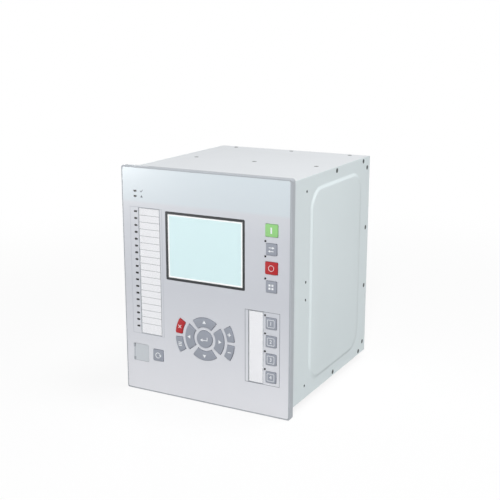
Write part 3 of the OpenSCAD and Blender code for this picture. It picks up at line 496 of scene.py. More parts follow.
def ring_block(inner, outer, bottom, top, start=0.0, sweep=360.0):
    shape = bmesh.new()
    bmesh.ops.create_grid(shape, x_segments=1, y_segments=1, size=0.5)
    bmesh.ops.scale(shape, vec=(outer - inner, top - bottom, 1), verts=shape.verts)
    bmesh.ops.translate(shape, vec=((outer + inner) / 2, (top + bottom) / 2, 0), verts=shape.verts)
    upright = Matrix.Rotation(math.radians(90), 4, "X")
    shape.transform(Matrix.Rotation(math.radians(start), 4, "Z") @ upright)
    whole_turn = sweep >= 360
    section = shape.verts[:] + shape.edges[:] + shape.faces[:]
    if whole_turn:
        bmesh.ops.delete(shape, geom=shape.faces[:], context="FACES_ONLY")
        section = shape.verts[:] + shape.edges[:]
    bmesh.ops.spin(
        shape, geom=section, cent=(0, 0, 0), axis=(0, 0, 1), angle=math.radians(sweep),
        steps=max(FEWEST_STEPS, round(sweep / STEP_DEGREES)), use_merge=whole_turn,
    )
    bmesh.ops.recalc_face_normals(shape, faces=shape.faces)
    return shape


def outline(width, height, line, bottom, top, corner=0.0):
    shape = block(width, height, bottom, top, corner)
    caps = [f for f in shape.faces if abs(f.normal.z) > 0.9]
    bmesh.ops.inset_region(shape, faces=caps, thickness=line, use_even_offset=True, use_boundary=True)
    inner = [e for f in caps for e in f.edges]
    bmesh.ops.delete(shape, geom=caps, context="FACES_ONLY")
    bmesh.ops.bridge_loops(shape, edges=inner)
    return shape


def is_closed(shape):
    return all(e.is_manifold for e in shape.edges)


trial = [
    block(4, 4, 0, 1, 1),
    post(2, 0, 1),
    ring_block(3, 5, 0, 1, 10, 60),
    ring_block(3, 5, 0, 1),
    outline(6, 4, 0.5, 0, 1, 1),
]
print("closed:", [is_closed(shape) for shape in trial])
for shape in trial:
    shape.free()

# %% [markdown]
# ## Keys
#
# Each key is one moulding: a cap that shows, a flange behind the panel that stops it falling out, and a
# stem that meets its switch. The solid model has them with a plain chamfer. Moulded keys have round
# corners and a soft upper rim, which catches a thin line of light, so each cap is bevelled twice: the
# upright edges first, then the upper rim. The keys round the pad are pieces of a ring.

# %% Key caps
KEY_SIDE = 12.6
WIDE_KEY = (14.6, 13.5)
RESET_SIDE = 13.6
RESET = (from_left(44.95), 47.2)
CORNER = 1.4
RIM = 0.45
RIM_STEPS = 4
ENTER_R = 10.0
# Inner radius, outer radius and half the angle of a key in a ring
ARROW_RING = (14.2, 25.0, 37.0)
SIDE_RING = (29.2, 38.0, 14.2)
SIDE_TURN = 17.8
RING_CORNER_STEPS = 5
SAME_ANGLE = 1e-3
SINK = 0.2
STEM_R = 2.0
STEM_SIDES = 24
CAP_SIDES = 96
FLANGE_SIDES = 64


def with_flange(cap, flange, x, y):
    round_edges(cap, upper_rim(cap), RIM, RIM_STEPS)
    stem = moved(post(STEM_R, -STEM_END, -PANEL_FACE - FLANGE_T + SINK, STEM_SIDES), x, y)
    return gather([cap, flange, stem])


def square_key(width, height, x, y):
    cap = moved(block(width, height, -PANEL_FACE - SINK, KEY_PROUD, CORNER), x, y)
    wide, high = width + 2 * FLANGE_W, height + 2 * FLANGE_W
    flange = moved(block(wide, high, -PANEL_FACE - FLANGE_T, -PANEL_FACE, CORNER), x, y)
    return with_flange(cap, flange, x, y)


def round_key(radius, x, y):
    cap = moved(post(radius, -PANEL_FACE - SINK, KEY_PROUD, CAP_SIDES), x, y)
    flange = post(radius + FLANGE_W, -PANEL_FACE - FLANGE_T, -PANEL_FACE, FLANGE_SIDES)
    moved(flange, x, y)
    return with_flange(cap, flange, x, y)


def ring_key(ring, turn):
    inner, outer, half = ring
    cap = ring_block(inner, outer, -PANEL_FACE - SINK, KEY_PROUD, turn - half, 2 * half)
    round_edges(cap, uprights_at_ends(cap, turn, half), CORNER, RING_CORNER_STEPS)
    wide = half + math.degrees(math.asin(2 * FLANGE_W / (inner + outer)))
    sweep = (turn - wide, 2 * wide)
    flange = ring_block(inner - FLANGE_W, outer + FLANGE_W, -PANEL_FACE - FLANGE_T, -PANEL_FACE, *sweep)
    middle = Vector(((inner + outer) / 2, 0)) @ Matrix.Rotation(math.radians(-turn), 2)
    moved(cap, *PAD)
    moved(flange, *PAD)
    return with_flange(cap, flange, PAD[0] + middle.x, PAD[1] + middle.y)


def uprights_at_ends(shape, turn, half):
    ends = [math.radians(turn - half), math.radians(turn + half)]
    found = []
    for edge in uprights(shape):
        angle = math.atan2(edge.verts[0].co.y, edge.verts[0].co.x)
        if any(abs(math.remainder(angle - end, math.tau)) < SAME_ANGLE for end in ends):
            found.append(edge)
    return found


print("the pad reaches", SIDE_RING[1], "mm from its middle")

# %% [markdown]
# Four keys stand in the right column above the four function keys, the reset key stands under the alarm
# lights, and nine keys make up the pad. Each takes the place of the plain key of the solid model.

# %% The keys in their places
FUNCTION_KEYS = range(1, 5)
GREY, RED, GREEN = "grey_key_plastic", "red_key_plastic", "green_key_plastic"
KEYS = {
    "close_key": (square_key(*WIDE_KEY, KEY_COLUMN, row(8)), key_green, GREEN),
    "mode_key": (square_key(KEY_SIDE, KEY_SIDE, KEY_COLUMN, row(7)), key_grey, GREY),
    "open_key": (square_key(*WIDE_KEY, KEY_COLUMN, row(6)), key_red, RED),
    "option_key": (square_key(KEY_SIDE, KEY_SIDE, KEY_COLUMN, row(5)), key_grey, GREY),
    "reset_key": (square_key(RESET_SIDE, RESET_SIDE, *RESET), key_grey, GREY),
    "enter_key": (round_key(ENTER_R, *PAD), key_grey, GREY),
    "right_key": (ring_key(ARROW_RING, 0), key_grey, GREY),
    "up_key": (ring_key(ARROW_RING, 90), key_grey, GREY),
    "left_key": (ring_key(ARROW_RING, 180), key_grey, GREY),
    "down_key": (ring_key(ARROW_RING, 270), key_grey, GREY),
    "plus_key": (ring_key(SIDE_RING, SIDE_TURN), key_grey, GREY),
    "minus_key": (ring_key(SIDE_RING, -SIDE_TURN), key_grey, GREY),
    "escape_key": (ring_key(SIDE_RING, 180 - SIDE_TURN), key_red, RED),
    "group_key": (ring_key(SIDE_RING, 180 + SIDE_TURN), key_grey, GREY),
}
for number in FUNCTION_KEYS:
    shape = square_key(KEY_SIDE, KEY_SIDE, KEY_COLUMN, row(4 - number))
    KEYS[f"function_key_{number}"] = (shape, key_grey, GREY)
for name, (shape, finish, slot) in KEYS.items():
    print(name, "closed:", is_closed(shape), "faces:", len(shape.faces))
    piece(f"{name}_cap", shape, finish, name, stands_for=name)

# %% [markdown]
# ## Marks on the keys
#
# The marks are white screen ink: a bar and a ring for close and open, arrows, plus and minus, numbers
# on the function keys. They are built from the same small solids, a few hundredths of a millimetre high,
# and each rides on its own key so that it travels with it. The numbers are text turned into a mesh.

# %% Printed marks
PRINT_LOW = KEY_PROUD - 0.02
PRINT_TOP = KEY_PROUD + 0.04
# Strokes that cross lie this much above each other, because faces in one plane would shade each other
PRINT_STEP = 0.012


def bar(width, height, x=0.0, y=0.0, turn=0.0):
    return moved(block(width, height, PRINT_LOW, PRINT_TOP), x, y, turn=turn)


def triangle(radius, x=0.0, y=0.0, turn=0.0):
    # A post of three sides points up, and turn counts from the right
    return moved(post(radius, PRINT_LOW, PRINT_TOP, 3), x, y, turn=turn - 90)


def arc(radius, line, start=0.0, sweep=360.0):
    return ring_block(radius - line / 2, radius + line / 2, PRINT_LOW, PRINT_TOP, start, sweep)


def digit(text, size):
    curve = bpy.data.curves.new("digit", "FONT")
    curve.body = text
    curve.size = size
    curve.align_x = "CENTER"
    curve.align_y = "CENTER"
    curve.extrude = (PRINT_TOP - PRINT_LOW) / 2
    writing = bpy.data.objects.new("digit", curve)
    bpy.context.scene.collection.objects.link(writing)
    bpy.context.view_layer.update()
    depsgraph = bpy.context.evaluated_depsgraph_get()
    mesh = bpy.data.meshes.new_from_object(writing.evaluated_get(depsgraph))
    shape = bmesh.new()
    shape.from_mesh(mesh)
    bmesh.ops.remove_doubles(shape, verts=shape.verts, dist=TOUCH)
    bpy.data.objects.remove(writing)
    bpy.data.curves.remove(curve)
    bpy.data.meshes.remove(mesh)
    return moved(shape, z=(PRINT_TOP + PRINT_LOW) / 2)


def on_ring(ring, turn):
    radius = (ring[0] + ring[1]) / 2
    angle = math.radians(turn)
    return PAD[0] + radius * math.cos(angle), PAD[1] + radius * math.sin(angle)


print("ink stands", round(PRINT_TOP - KEY_PROUD, 3), "mm above the keys")

# %% [markdown]
# Each mark is a list of strokes, measured from the middle of its key, and the place of that key. The
# sizes are those of signs that are printed four to nine millimetres wide.

# %% The marks in their places
STROKE = 0.9
THIN = 0.8
CROSS_LINE = 0.7
RING_LINE = 0.45
SIGN_W = 4.4
ARROW_R = 2.5
NUMBER_SIZE = 6.2
NUMBER_FRAME = 8.8
NUMBER_LINE = 0.5
NUMBER_CORNER = 1.2
SWAP = [bar(4.2, THIN, -0.8, 1.9), triangle(1.6, 2.2, 1.9, 0)]
SWAP += [bar(4.2, THIN, 0.8, -1.9), triangle(1.6, -2.2, -1.9, 180)]
FOUR = [bar(2.3, 2.3, x, y) for x in (-1.8, 1.8) for y in (-1.8, 1.8)]
RETURN = [bar(7.0, STROKE, 0.6, -1.2), bar(STROKE, 4.2, 3.65, 0.45), triangle(2.1, -3.4, -1.2, 180)]
CROSS = [bar(5.2, CROSS_LINE, turn=45), bar(5.2, CROSS_LINE, turn=-45)]
LIST = [bar(SIGN_W, STROKE, 0, y) for y in (-1.9, 0, 1.9)]
MARKS = {
    "close_key": ([bar(1.7, 6.6)], (KEY_COLUMN, row(8))),
    "open_key": ([arc(3.1, RING_LINE)], (KEY_COLUMN, row(6))),
    "mode_key": (SWAP, (KEY_COLUMN, row(7))),
    "option_key": (FOUR, (KEY_COLUMN, row(5))),
    "reset_key": ([arc(3.1, THIN, 20, 290), triangle(1.7, 3.1, -0.2, 270)], RESET),
    "enter_key": (RETURN, PAD),
    "plus_key": ([bar(SIGN_W, STROKE), bar(STROKE, SIGN_W)], on_ring(SIDE_RING, SIDE_TURN)),
    "minus_key": ([bar(SIGN_W, STROKE)], on_ring(SIDE_RING, -SIDE_TURN)),
    "escape_key": (CROSS, on_ring(SIDE_RING, 180 - SIDE_TURN)),
    "group_key": (LIST, on_ring(SIDE_RING, 180 + SIDE_TURN)),
}
for key, turn in (("right_key", 0), ("up_key", 90), ("left_key", 180), ("down_key", 270)):
    MARKS[key] = ([triangle(ARROW_R, turn=turn)], on_ring(ARROW_RING, turn))
for number in FUNCTION_KEYS:
    edge = outline(NUMBER_FRAME, NUMBER_FRAME, NUMBER_LINE, PRINT_LOW, PRINT_TOP, NUMBER_CORNER)
    shapes = [edge, digit(str(number), NUMBER_SIZE)]
    MARKS[f"function_key_{number}"] = (shapes, (KEY_COLUMN, row(4 - number)))
for key, (shapes, where) in MARKS.items():
    layers = [moved(shape, z=n * PRINT_STEP) for n, shape in enumerate(shapes)]
    piece(f"{key}_mark", moved(gather(layers), *where), white_ink, key)
print("marks:", len(MARKS))

# %% [markdown]
# ## Lines on the film and the label cards
#
# The film has pressed lines round the function keys and round the alarm lights. The function frame is
# inked dark grey and the alarm frame pale grey, so an outline fills each groove almost to the face. The
# alarm card is ruled with one row for each light. The display's picture and its white border are bonded
# just behind the face of the lens. Two small signs, a tick and a triangle, stand beside the status
# lights.

# %% Frames, rules and small signs
GROOVE = 0.5
INK_LOW = -0.2
INK_TOP = -0.06
FUNCTION_FRAME = (158.4, 200.9, 36.5, 120.1)
LIGHT_FRAME = (10.7, 53.5, 70.0, 219.8)
FIRST_LIGHT = 214.5
LIGHT_PITCH = 7.97
LIGHT_COUNT = 18
SLIP = (22.9, 49.5)
CARD_FRONT = -0.6
RULE_LINE = 0.4
SIGN_LOW, SIGN_TOP = -0.02, 0.03
STATUS_LIGHTS = (238.0, 231.9)
SIGN_X = 27.0
TICK_LINE = 0.7
TICK_TURN = 35
ALERT_R = 1.9
SCREEN = (from_left(108.1), 179.1)
SCREEN_SIZE = (94.6, 72.6)
SCREEN_BORDER = 1.8
LENS_FACE = -0.6
PICTURE_LAYER = (LENS_FACE - 0.3, LENS_FACE - 0.1)
PICTURE_CORNER = 0.6
BORDER_LAYER = (LENS_FACE - 0.12, LENS_FACE - 0.04)


def frame_of(left, right, low, high, line, bottom, top):
    shape = outline(right - left, high - low, line, bottom, top)
    return moved(shape, from_left((left + right) / 2), (low + high) / 2)


piece("function_frame_line", frame_of(*FUNCTION_FRAME, GROOVE, INK_LOW, INK_TOP), grey_ink, "relay")
piece("light_frame_line", frame_of(*LIGHT_FRAME, GROOVE, INK_LOW, INK_TOP), pale_ink, "relay")
rules = []
for number in range(LIGHT_COUNT - 1):
    rule = block(SLIP[1] - SLIP[0], RULE_LINE, CARD_FRONT + SIGN_LOW, CARD_FRONT + SIGN_TOP)
    rules.append(moved(rule, from_left(sum(SLIP) / 2), FIRST_LIGHT - (number + 0.5) * LIGHT_PITCH))
piece("alarm_card_rules", gather(rules), grey_ink, "relay")
picture = moved(block(*SCREEN_SIZE, *PICTURE_LAYER, PICTURE_CORNER), *SCREEN)
piece("display_picture", picture, lit_display, "relay")
border = moved(outline(*SCREEN_SIZE, SCREEN_BORDER, *BORDER_LAYER), *SCREEN)
piece("display_border", border, border_ink_painted_glow, "relay")
short = moved(block(TICK_LINE, 2.0, SIGN_LOW, SIGN_TOP), -1.0, -0.3, turn=TICK_TURN)
long = moved(block(TICK_LINE, 3.6, SIGN_LOW, SIGN_TOP + PRINT_STEP), 0.6, 0.3, turn=-TICK_TURN)
tick = gather([short, long])
alert = post(ALERT_R, SIGN_LOW, SIGN_TOP, 3)
signs = [moved(sign, from_left(SIGN_X), z) for sign, z in zip((tick, alert), STATUS_LIGHTS)]
piece("status_signs", gather(signs), grey_ink, "relay")
print("card rules:", LIGHT_COUNT - 1)

# %% [markdown]
# ## Screws with a cross recess
#
# The case is held by countersunk screws, the rear modules by pan-head screws, and each terminal has a
# small slotted clamp screw at the bottom of its well. The driver recess is what makes a screw look like
# one. A grid of three by three faces gives it: the middle row and column (or the middle row alone, for
# a slot) go down into the head, and the grid's border is bridged to a circle. From there the rim is
# drawn out ring by ring: over the head, down the shank, and closed at the tip.

# %% A screw from its recess outwards
NEARLY = 0.9
RECESS_TAPER = 0.75


def screw(arm, half, depth, rings, slotted=False, sides=24):
    shape = bmesh.new()
    bmesh.ops.create_grid(shape, x_segments=1 if slotted else 3, y_segments=3, size=arm)
    for vert in shape.verts:
        vert.co.x = math.copysign(half, vert.co.x) if abs(vert.co.x) < NEARLY * arm else vert.co.x
        vert.co.y = math.copysign(half, vert.co.y) if abs(vert.co.y) < NEARLY * arm else vert.co.y
    sunk = [f for f in shape.faces if min(abs(c) for c in f.calc_center_median().xy) < 0.5 * half]
    if slotted:
        sunk = [f for f in shape.faces if abs(f.calc_center_median().y) < 0.5 * half]
    grown = bmesh.ops.extrude_face_region(shape, geom=sunk)["geom"]
    bmesh.ops.delete(shape, geom=[f for f in sunk if f.is_valid], context="FACES_ONLY")
    floor = [v for v in grown if isinstance(v, bmesh.types.BMVert)]
    bmesh.ops.scale(shape, vec=(RECESS_TAPER, RECESS_TAPER, 1), verts=floor)
    bmesh.ops.translate(shape, vec=(0, 0, -depth), verts=floor)
    border = [e for e in shape.edges if e.is_boundary]
    circle = bmesh.ops.create_circle(shape, segments=sides, radius=rings[0][0])["verts"]
    bmesh.ops.translate(shape, vec=(0, 0, rings[0][1]), verts=circle)
    rim = list({e for v in circle for e in v.link_edges})
    bmesh.ops.bridge_loops(shape, edges=border + rim)
    for before, (radius, z) in zip(rings, rings[1:]):
        drawn = bmesh.ops.extrude_edge_only(shape, edges=rim)["geom"]
        verts = [v for v in drawn if isinstance(v, bmesh.types.BMVert)]
        rim = [e for e in drawn if isinstance(e, bmesh.types.BMEdge)]
        rim = [e for e in rim if e.is_boundary]
        bmesh.ops.scale(shape, vec=(radius / before[0], radius / before[0], 1), verts=verts)
        bmesh.ops.translate(shape, vec=(0, 0, z - before[1]), verts=verts)
    bmesh.ops.edgeloop_fill(shape, edges=rim)
    return shape


print("recess taper:", RECESS_TAPER)

# %% [markdown]
# Three kinds of screw come from that function. A recess is given as the length of an arm, half the width
# of an arm, and the depth. A head is a list of rings, each with a radius and a height.

# %% The three kinds of screw
HEAD_R = 2.8
SHANK_R = 1.5
HEAD_H = HEAD_R - SHANK_R
CASE_CROSS = (1.55, 0.38, 1.0)
CASE_HEAD = [(HEAD_R - 0.25, 0.0), (HEAD_R - 0.05, -0.06), (HEAD_R, -0.2), (SHANK_R, -HEAD_H)]
PAN_CROSS = (1.4, 0.36, 1.0)
PAN_H = 2.0
PAN_HEAD = [(1.9, PAN_H), (2.35, 1.75), (2.6, 1.2), (2.75, 0.0), (SHANK_R, 0.0), (SHANK_R, -5.0)]
CLAMP_H = 1.2
CLAMP_EDGE = 0.15
CLAMP_SIDES = 16
SLOT_SHARE = 0.8
SLOT_HALF = 0.28
SLOT_DEPTH = 0.5
COVER_SCREW_L = 8
SIDE_SCREW_L = 6
# Radius of the clamp screw and depth of its well
PLUG_CLAMP = (1.55, 3.0)
CURRENT_CLAMP = (1.8, 6.0)


def case_screw(length):
    return screw(*CASE_CROSS, CASE_HEAD + [(SHANK_R, -length)])


def pan_screw():
    shape = screw(*PAN_CROSS, [(r, z - PAN_H) for r, z in PAN_HEAD])
    return moved(shape, z=PAN_H)


def clamp_screw(radius, well):
    face = radius - CLAMP_EDGE
    rings = [(face, 0.0), (radius, -CLAMP_EDGE), (radius, -CLAMP_H)]
    shape = screw(SLOT_SHARE * face, SLOT_HALF, SLOT_DEPTH, rings, slotted=True, sides=CLAMP_SIDES)
    return moved(shape, z=REAR_PROUD - well + CLAMP_H)


for shape in (case_screw(COVER_SCREW_L), pan_screw(), clamp_screw(*PLUG_CLAMP)):
    print("screw closed:", is_closed(shape), "faces:", len(shape.faces))
    shape.free()

# %% [markdown]
# The screws go where the solid model has them: six in each cover, four on each side near the corners,
# and four up each rear edge. Each head is turned by its own angle, because nobody lines up screws.

# %% Screws in their places
COVER_SCREWS = [(x, u) for x in (-80, 0, 80) for u in (120.0, 220.5)]
SCREW_EDGE = 4
SIDE_SCREWS = [(u, z) for u in (125.0, 207.0) for z in (CASE_TOP - SCREW_EDGE, CASE_BOTTOM + SCREW_EDGE)]
REAR_EDGE_U = 219.7
REAR_EDGE_PITCH = 74.9
SIDE_SCREWS += [(REAR_EDGE_U, CASE_MID + k * REAR_EDGE_PITCH) for k in (-1.5, -0.5, 0.5, 1.5)]
TURN_STEP = 37


def set_out(places, side, maker, *sizes):
    turns = [TURN_STEP * n % 90 for n in range(len(places))]
    shape = gather([moved(maker(*sizes), x, y, turn=turn) for (x, y), turn in zip(places, turns)])
    shape.transform(side)
    return shape


IN_PLACE = Matrix.Identity(4)
case_rows = [
    set_out(COVER_SCREWS, TOP, case_screw, COVER_SCREW_L),
    set_out([(x, -u) for x, u in COVER_SCREWS], BOTTOM, case_screw, COVER_SCREW_L),
    set_out(SIDE_SCREWS, RIGHT, case_screw, SIDE_SCREW_L),
    set_out([(-u, z) for u, z in SIDE_SCREWS], LEFT, case_screw, SIDE_SCREW_L),
]
piece("case_screw_set", gather(case_rows), dark_steel, "relay", IN_PLACE, "case_screws")
MODULE_PITCH = 40.64
MODULES = [-MODULE_PITCH * (n - 2) for n in range(5)]
MODULE_SCREW_Z = (256.4, 15.0)
MODULE_SCREWS = [(x, z) for x in MODULES for z in MODULE_SCREW_Z]
rear_row = set_out(MODULE_SCREWS, REAR, pan_screw)
piece("module_screw_set", rear_row, zinc_steel, "relay", IN_PLACE, "module_screws")
case_count = 2 * len(COVER_SCREWS) + 2 * len(SIDE_SCREWS)
print("case screws:", case_count, "module screws:", len(MODULE_SCREWS))

# %% [markdown]
# ## The pressed side plates
#
# A large field is pressed out of each side plate to stiffen it. In the solid model its slope is flat. A
# press leaves a soft curve at the foot and at the crest, and that curve is what draws the bright and
# dark lines round the field. A skin with that section lies over the solid: a rounded block whose upper
# face is inset again and again, each time a little further in and a little higher. Towards the rear the
# slope runs out further, so there its foot is drawn outwards, and each ring above it less and less.

# %% Skins over the pressed fields
FIELD_U = (53.0, 198.6)
FIELD_Z = (23.5, 247.9)
FIELD_CORNER = 26.0
FIELD_RISE = 1.43
SLOPE_RUN = 5.0
REAR_RUN_MORE = 4.0
SLOPE_STEPS = 10
FIELD_CORNER_STEPS = 18
SUNK = 0.4
SKIN_LIFT = 0.02


def ease_rear(shape):
    corner_x = (FIELD_U[1] - FIELD_U[0]) / 2 - FIELD_CORNER
    corner_y = (FIELD_Z[1] - FIELD_Z[0]) / 2 - FIELD_CORNER
    for vert in shape.verts:
        out = Vector((max(vert.co.x - corner_x, 0.0), max(abs(vert.co.y) - corner_y, 0.0)))
        if out.x > 0:
            share = 1 - (FIELD_CORNER - out.length) / SLOPE_RUN
            vert.co.x += REAR_RUN_MORE * share * out.x / out.length


def pressed_skin():
    shape = block(FIELD_U[1] - FIELD_U[0], FIELD_Z[1] - FIELD_Z[0], -SUNK, 0.0)
    round_edges(shape, uprights(shape), FIELD_CORNER, FIELD_CORNER_STEPS)
    shape.normal_update()
    cap = max(shape.faces, key=lambda f: f.calc_center_median().z)
    before = 0.0
    for step in range(1, SLOPE_STEPS + 1):
        t = step / SLOPE_STEPS
        height_now = FIELD_RISE * (3 * t**2 - 2 * t**3)
        bmesh.ops.inset_region(
            shape, faces=[cap], thickness=SLOPE_RUN / SLOPE_STEPS, depth=height_now - before,
            use_even_offset=True, use_boundary=True,
        )
        before = height_now
    ease_rear(shape)
    return moved(shape, sum(FIELD_U) / 2, sum(FIELD_Z) / 2, SKIN_LIFT)


for name, side, mirrored in (("right_pressed_field", RIGHT, False), ("left_pressed_field", LEFT, True)):
    skin = pressed_skin()
    print(name, "closed:", is_closed(skin), "faces:", len(skin.faces))
    if mirrored:
        skin.transform(Matrix.Scale(-1, 4, (1, 0, 0)))
    piece(name, skin, case_paint, "relay", side)

# %% [markdown]
# The side plates also have four threaded holes for a bracket. The paint stops at their rim: inside, the
# thread is bare dark steel, a sleeve with a few crests. Without it the holes look like pale dimples.

# %% Threads of the bracket holes
BRACKET_U = 43.7
BRACKET_Z = [CASE_MID + s * d / 2 for d in (20.4, 221.4) for s in (-1, 1)]
THREAD_R = 1.66
THREAD_DEPTH = 3.6
THREAD_START = 0.1
SLEEVE_T = 0.12
CREST_RING = (THREAD_R - 0.35, THREAD_R - 0.1)
CREST_W = 0.3
CREST_DEPTHS = (0.4, 1.1, 1.8, 2.5, 3.2)


def thread():
    sleeve = ring_block(THREAD_R - SLEEVE_T, THREAD_R, -THREAD_DEPTH, -THREAD_START)
    crests = [ring_block(*CREST_RING, -depth - CREST_W, -depth) for depth in CREST_DEPTHS]
    return gather([sleeve] + crests)


threads = [
    set_out([(BRACKET_U, z) for z in BRACKET_Z], RIGHT, thread),
    set_out([(-BRACKET_U, z) for z in BRACKET_Z], LEFT, thread),
]
piece("bracket_threads", gather(threads), dark_steel, "relay", IN_PLACE)
print("bracket holes:", 2 * len(BRACKET_Z))

# %% [markdown]
# ## Terminals and contacts at the rear
#
# Looking into a terminal, the eye finds a clamp screw in the round well and a metal clamp in the square
# wire hole. They are small, but without them the holes look drilled into a block.

# %% Clamp screws and wire clamps
PLUG_PITCH = 5.08
PLUG_WAYS = 12
PLUG_OFFSET = 52.5
PLUG_HALF = 3.0
PLUGS = [(n, end) for n in (0, 2, 3) for end in (-1, 1)] + [(1, 1)]
BLOCK_MID = CASE_MID + 14
BLOCK_HALF = 8.5
BLOCK_PITCH = 12.0
BLOCK_ROWS = 12
CAGE_SIDE = 3.0
CAGE_WALL = 0.4
CAGE_LAYER = (REAR_PROUD - 7.5, REAR_PROUD - 2.5)


def centred(count, pitch):
    return [(n - (count - 1) / 2) * pitch for n in range(count)]


def cage():
    return outline(CAGE_SIDE, CAGE_SIDE, CAGE_WALL, *CAGE_LAYER)


plug_rows = centred(PLUG_WAYS, PLUG_PITCH)
ways = [(MODULES[n], CASE_MID + end * PLUG_OFFSET + k) for n, end in PLUGS for k in plug_rows]
clamps = set_out([(x - PLUG_HALF, z) for x, z in ways], REAR, clamp_screw, *PLUG_CLAMP)
piece("plug_clamp_screws", clamps, zinc_steel, "relay", IN_PLACE)
cages = [moved(cage(), x + PLUG_HALF, z) for x, z in ways]
piece("plug_wire_clamps", gather(cages), nickel, "relay", REAR)
block_columns = [MODULES[4] + end * BLOCK_HALF for end in (-1, 1)]
block_places = [(x, BLOCK_MID + k) for x in block_columns for k in centred(BLOCK_ROWS, BLOCK_PITCH)]
studs = set_out(block_places, REAR, clamp_screw, *CURRENT_CLAMP)
piece("current_clamp_screws", studs, zinc_steel, "relay", IN_PLACE)
print("terminal ways:", len(ways), "current ways:", len(block_places))

# %% [markdown]
# Looking into a data socket, the eye finds eight gilded wires near its upper wall. Two sockets are at the
# rear, and one is behind the cover at the front.

# %% Socket contacts
CONTACTS = 8
CONTACT_PITCH = 1.02
WIRE = 0.45
WIRE_EDGE = 0.1
WIRE_DEPTHS = (9.0, 1.0)
WIRE_DROP = 0.6
SOCKET_H = 8.4
NETWORK_X = 38.64
NETWORK_Z = (101.7, 73.7)
PORT_X = -85.15
PORT_Z = 46.6
PORT_MOUTH = -3.3


def contacts(x, z, mouth=0.0):
    low, high = (mouth - depth for depth in WIRE_DEPTHS)
    height = z + SOCKET_H / 2 - WIRE_DROP
    places = [x + k for k in centred(CONTACTS, CONTACT_PITCH)]
    return [moved(block(WIRE, WIRE, low, high, WIRE_EDGE), place, height) for place in places]


wires = [wire for z in NETWORK_Z for wire in contacts(NETWORK_X, z)]
piece("network_contacts", gather(wires), gold, "relay", REAR)
front_wires = contacts(PORT_X, PORT_Z, PORT_MOUTH)
piece("front_port_contacts", gather(front_wires), gold, "relay", FACE)
print("socket contacts:", CONTACTS * (len(NETWORK_Z) + 1))

# %% [markdown]
# ## Floor and sky
#
# The object stands in a white studio. The floor is white paper, and the world is an even white sky.
# Camera, glossy and transmitted rays see most of the floor as plain white, so the background stays white
# at a normal level of light. The share of plain white grows with the distance: close to the object the
# rest of the shading keeps the soft shadow, and further away the paper melts into the sky. Rays that
# only carry light meet a greyer paper and a dim sky, so the lamps do most of the work.

# %% Sky
SKY_LIGHT = 0.1
MAXIMUM = {"operation": "MAXIMUM"}


def seen_directly(owner):
    # 1 for camera, glossy and transmitted rays, 0 for rays that only carry light
    rays = add(owner, "ShaderNodeLightPath").outputs
    first_two = {0: rays["Is Camera Ray"], 1: rays["Is Glossy Ray"]}
    either = add(owner, "ShaderNodeMath", MAXIMUM, first_two)
    all_three = {0: either.outputs[0], 1: rays["Is Transmission Ray"]}
    return add(owner, "ShaderNodeMath", MAXIMUM, all_three).outputs[0]


sky = bpy.data.worlds.new("white_studio")
bpy.context.scene.world = sky
sky.use_nodes = True
sky.node_tree.nodes.clear()
direct = seen_directly(sky)
dim = add(sky, "ShaderNodeBackground", {"Color": WHITE, "Strength": SKY_LIGHT}).outputs[0]
bright = add(sky, "ShaderNodeBackground", {"Color": WHITE, "Strength": 1.0}).outputs[0]
sky_mix = add(sky, "ShaderNodeMixShader", links={0: direct, 1: dim, 2: bright})
add(sky, "ShaderNodeOutputWorld", links={"Surface": sky_mix.outputs[0]})
print("sky light", SKY_LIGHT)

# %% Floor
FLOOR_HALF = 4.0
NEAR_PLAIN = 0.86
NEAR = 0.3
FAR = 1.1
floor_mesh = bpy.data.meshes.new("studio_floor")
floor_shape = bmesh.new()
bmesh.ops.create_grid(floor_shape, x_segments=1, y_segments=1, size=FLOOR_HALF)
floor_shape.to_mesh(floor_mesh)
floor_shape.free()
floor = bpy.data.objects.new("studio_floor", floor_mesh)
bpy.context.scene.collection.objects.link(floor)
paper = bpy.data.materials.new("white_background_paper")
paper.use_nodes = True
paper.node_tree.nodes.clear()
direct = seen_directly(paper)
place = add(paper, "ShaderNodeTexCoord").outputs["Object"]
away = add(paper, "ShaderNodeVectorMath", {"operation": "LENGTH"}, {0: place})
fade = {"interpolation_type": "SMOOTHSTEP", "From Min": NEAR, "From Max": FAR, "To Min": NEAR_PLAIN}
plain = add(paper, "ShaderNodeMapRange", fade, {"Value": away.outputs["Value"]}).outputs["Result"]
matt = add(paper, "ShaderNodeBsdfDiffuse", {"Color": linear("#f4f4f4")}).outputs[0]
white = add(paper, "ShaderNodeEmission", {"Color": WHITE, "Strength": 1.0}).outputs[0]
shown = add(paper, "ShaderNodeMixShader", links={0: plain, 1: matt, 2: white}).outputs[0]
bounce = add(paper, "ShaderNodeBsdfDiffuse", {"Color": linear("#a6a6a6")}).outputs[0]
paper_mix = add(paper, "ShaderNodeMixShader", links={0: direct, 1: bounce, 2: shown})
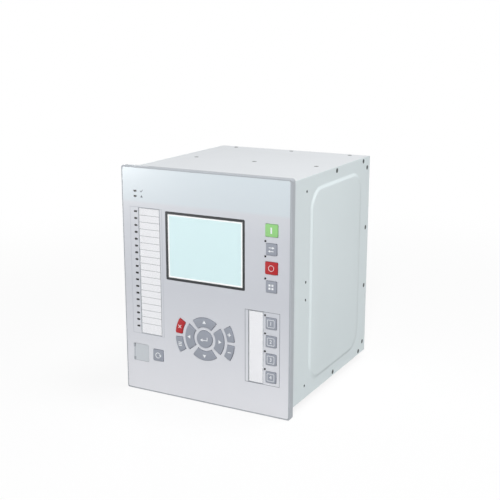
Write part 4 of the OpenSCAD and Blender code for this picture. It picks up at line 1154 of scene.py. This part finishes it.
add(paper, "ShaderNodeOutputMaterial", links={"Surface": paper_mix.outputs[0]})
floor_mesh.materials.append(paper)
print("plain white from", FAR, "m outwards")

# %% [markdown]
# ## Lamps
#
# Five soft lamps model the faces. The key light stands high in front at the right. A small low lamp at
# the left puts the highlight on the film, a low one at the right brightens the foot of the side plate,
# and one hangs above. The last stands low behind at the left, for the rear and the left side. Each has
# its place and size in metres and its power in watts, and all point at the middle of the relay.

# %% Lamps
TARGET = Vector((0, 0, 0.13))
LAMPS = {
    "key_softbox": ((1.1, -2.2, 1.72), 0.8, 64.0),
    "low_left_softbox": ((-1.24, -1.6, 0.11), 0.2, 7.0),
    "low_right_softbox": ((1.2, 0.1, 0.06), 0.4, 5.2),
    "top_softbox": ((0.4, 0.15, 1.7), 0.5, 12.0),
    "rear_left_softbox": ((-1.4, 1.5, 0.2), 0.3, 20.0),
}
for name, (place, size, power) in LAMPS.items():
    lamp = bpy.data.lights.new(name, "AREA")
    lamp.size = size
    lamp.energy = power
    stand = bpy.data.objects.new(name, lamp)
    stand.location = place
    stand.rotation_euler = (TARGET - Vector(place)).to_track_quat("-Z", "Y").to_euler()
    stand.visible_camera = False
    bpy.context.scene.collection.objects.link(stand)
print("lamps:", len(LAMPS))

# %% [markdown]
# ## Camera
#
# The camera was fitted to the corners of the panel and the case in the photograph. It looks from the
# right and a little from above, through a fairly long lens.

# %% Camera
AZIMUTH = math.radians(28.05)
PITCH = math.radians(13.84)
camera = bpy.data.cameras.new("camera")
camera.sensor_width = 36.0
camera.lens = 68.11
eye = bpy.data.objects.new("camera", camera)
eye.location = (0.5177, -0.9831, 0.4272)
level = math.cos(PITCH)
look = Vector((-math.sin(AZIMUTH) * level, math.cos(AZIMUTH) * level, -math.sin(PITCH)))
eye.rotation_euler = look.to_track_quat("-Z", "Y").to_euler()
bpy.context.scene.collection.objects.link(eye)
bpy.context.scene.camera = eye
bpy.context.scene.view_settings.view_transform = "Standard"
print("camera looks along", [round(c, 3) for c in look])
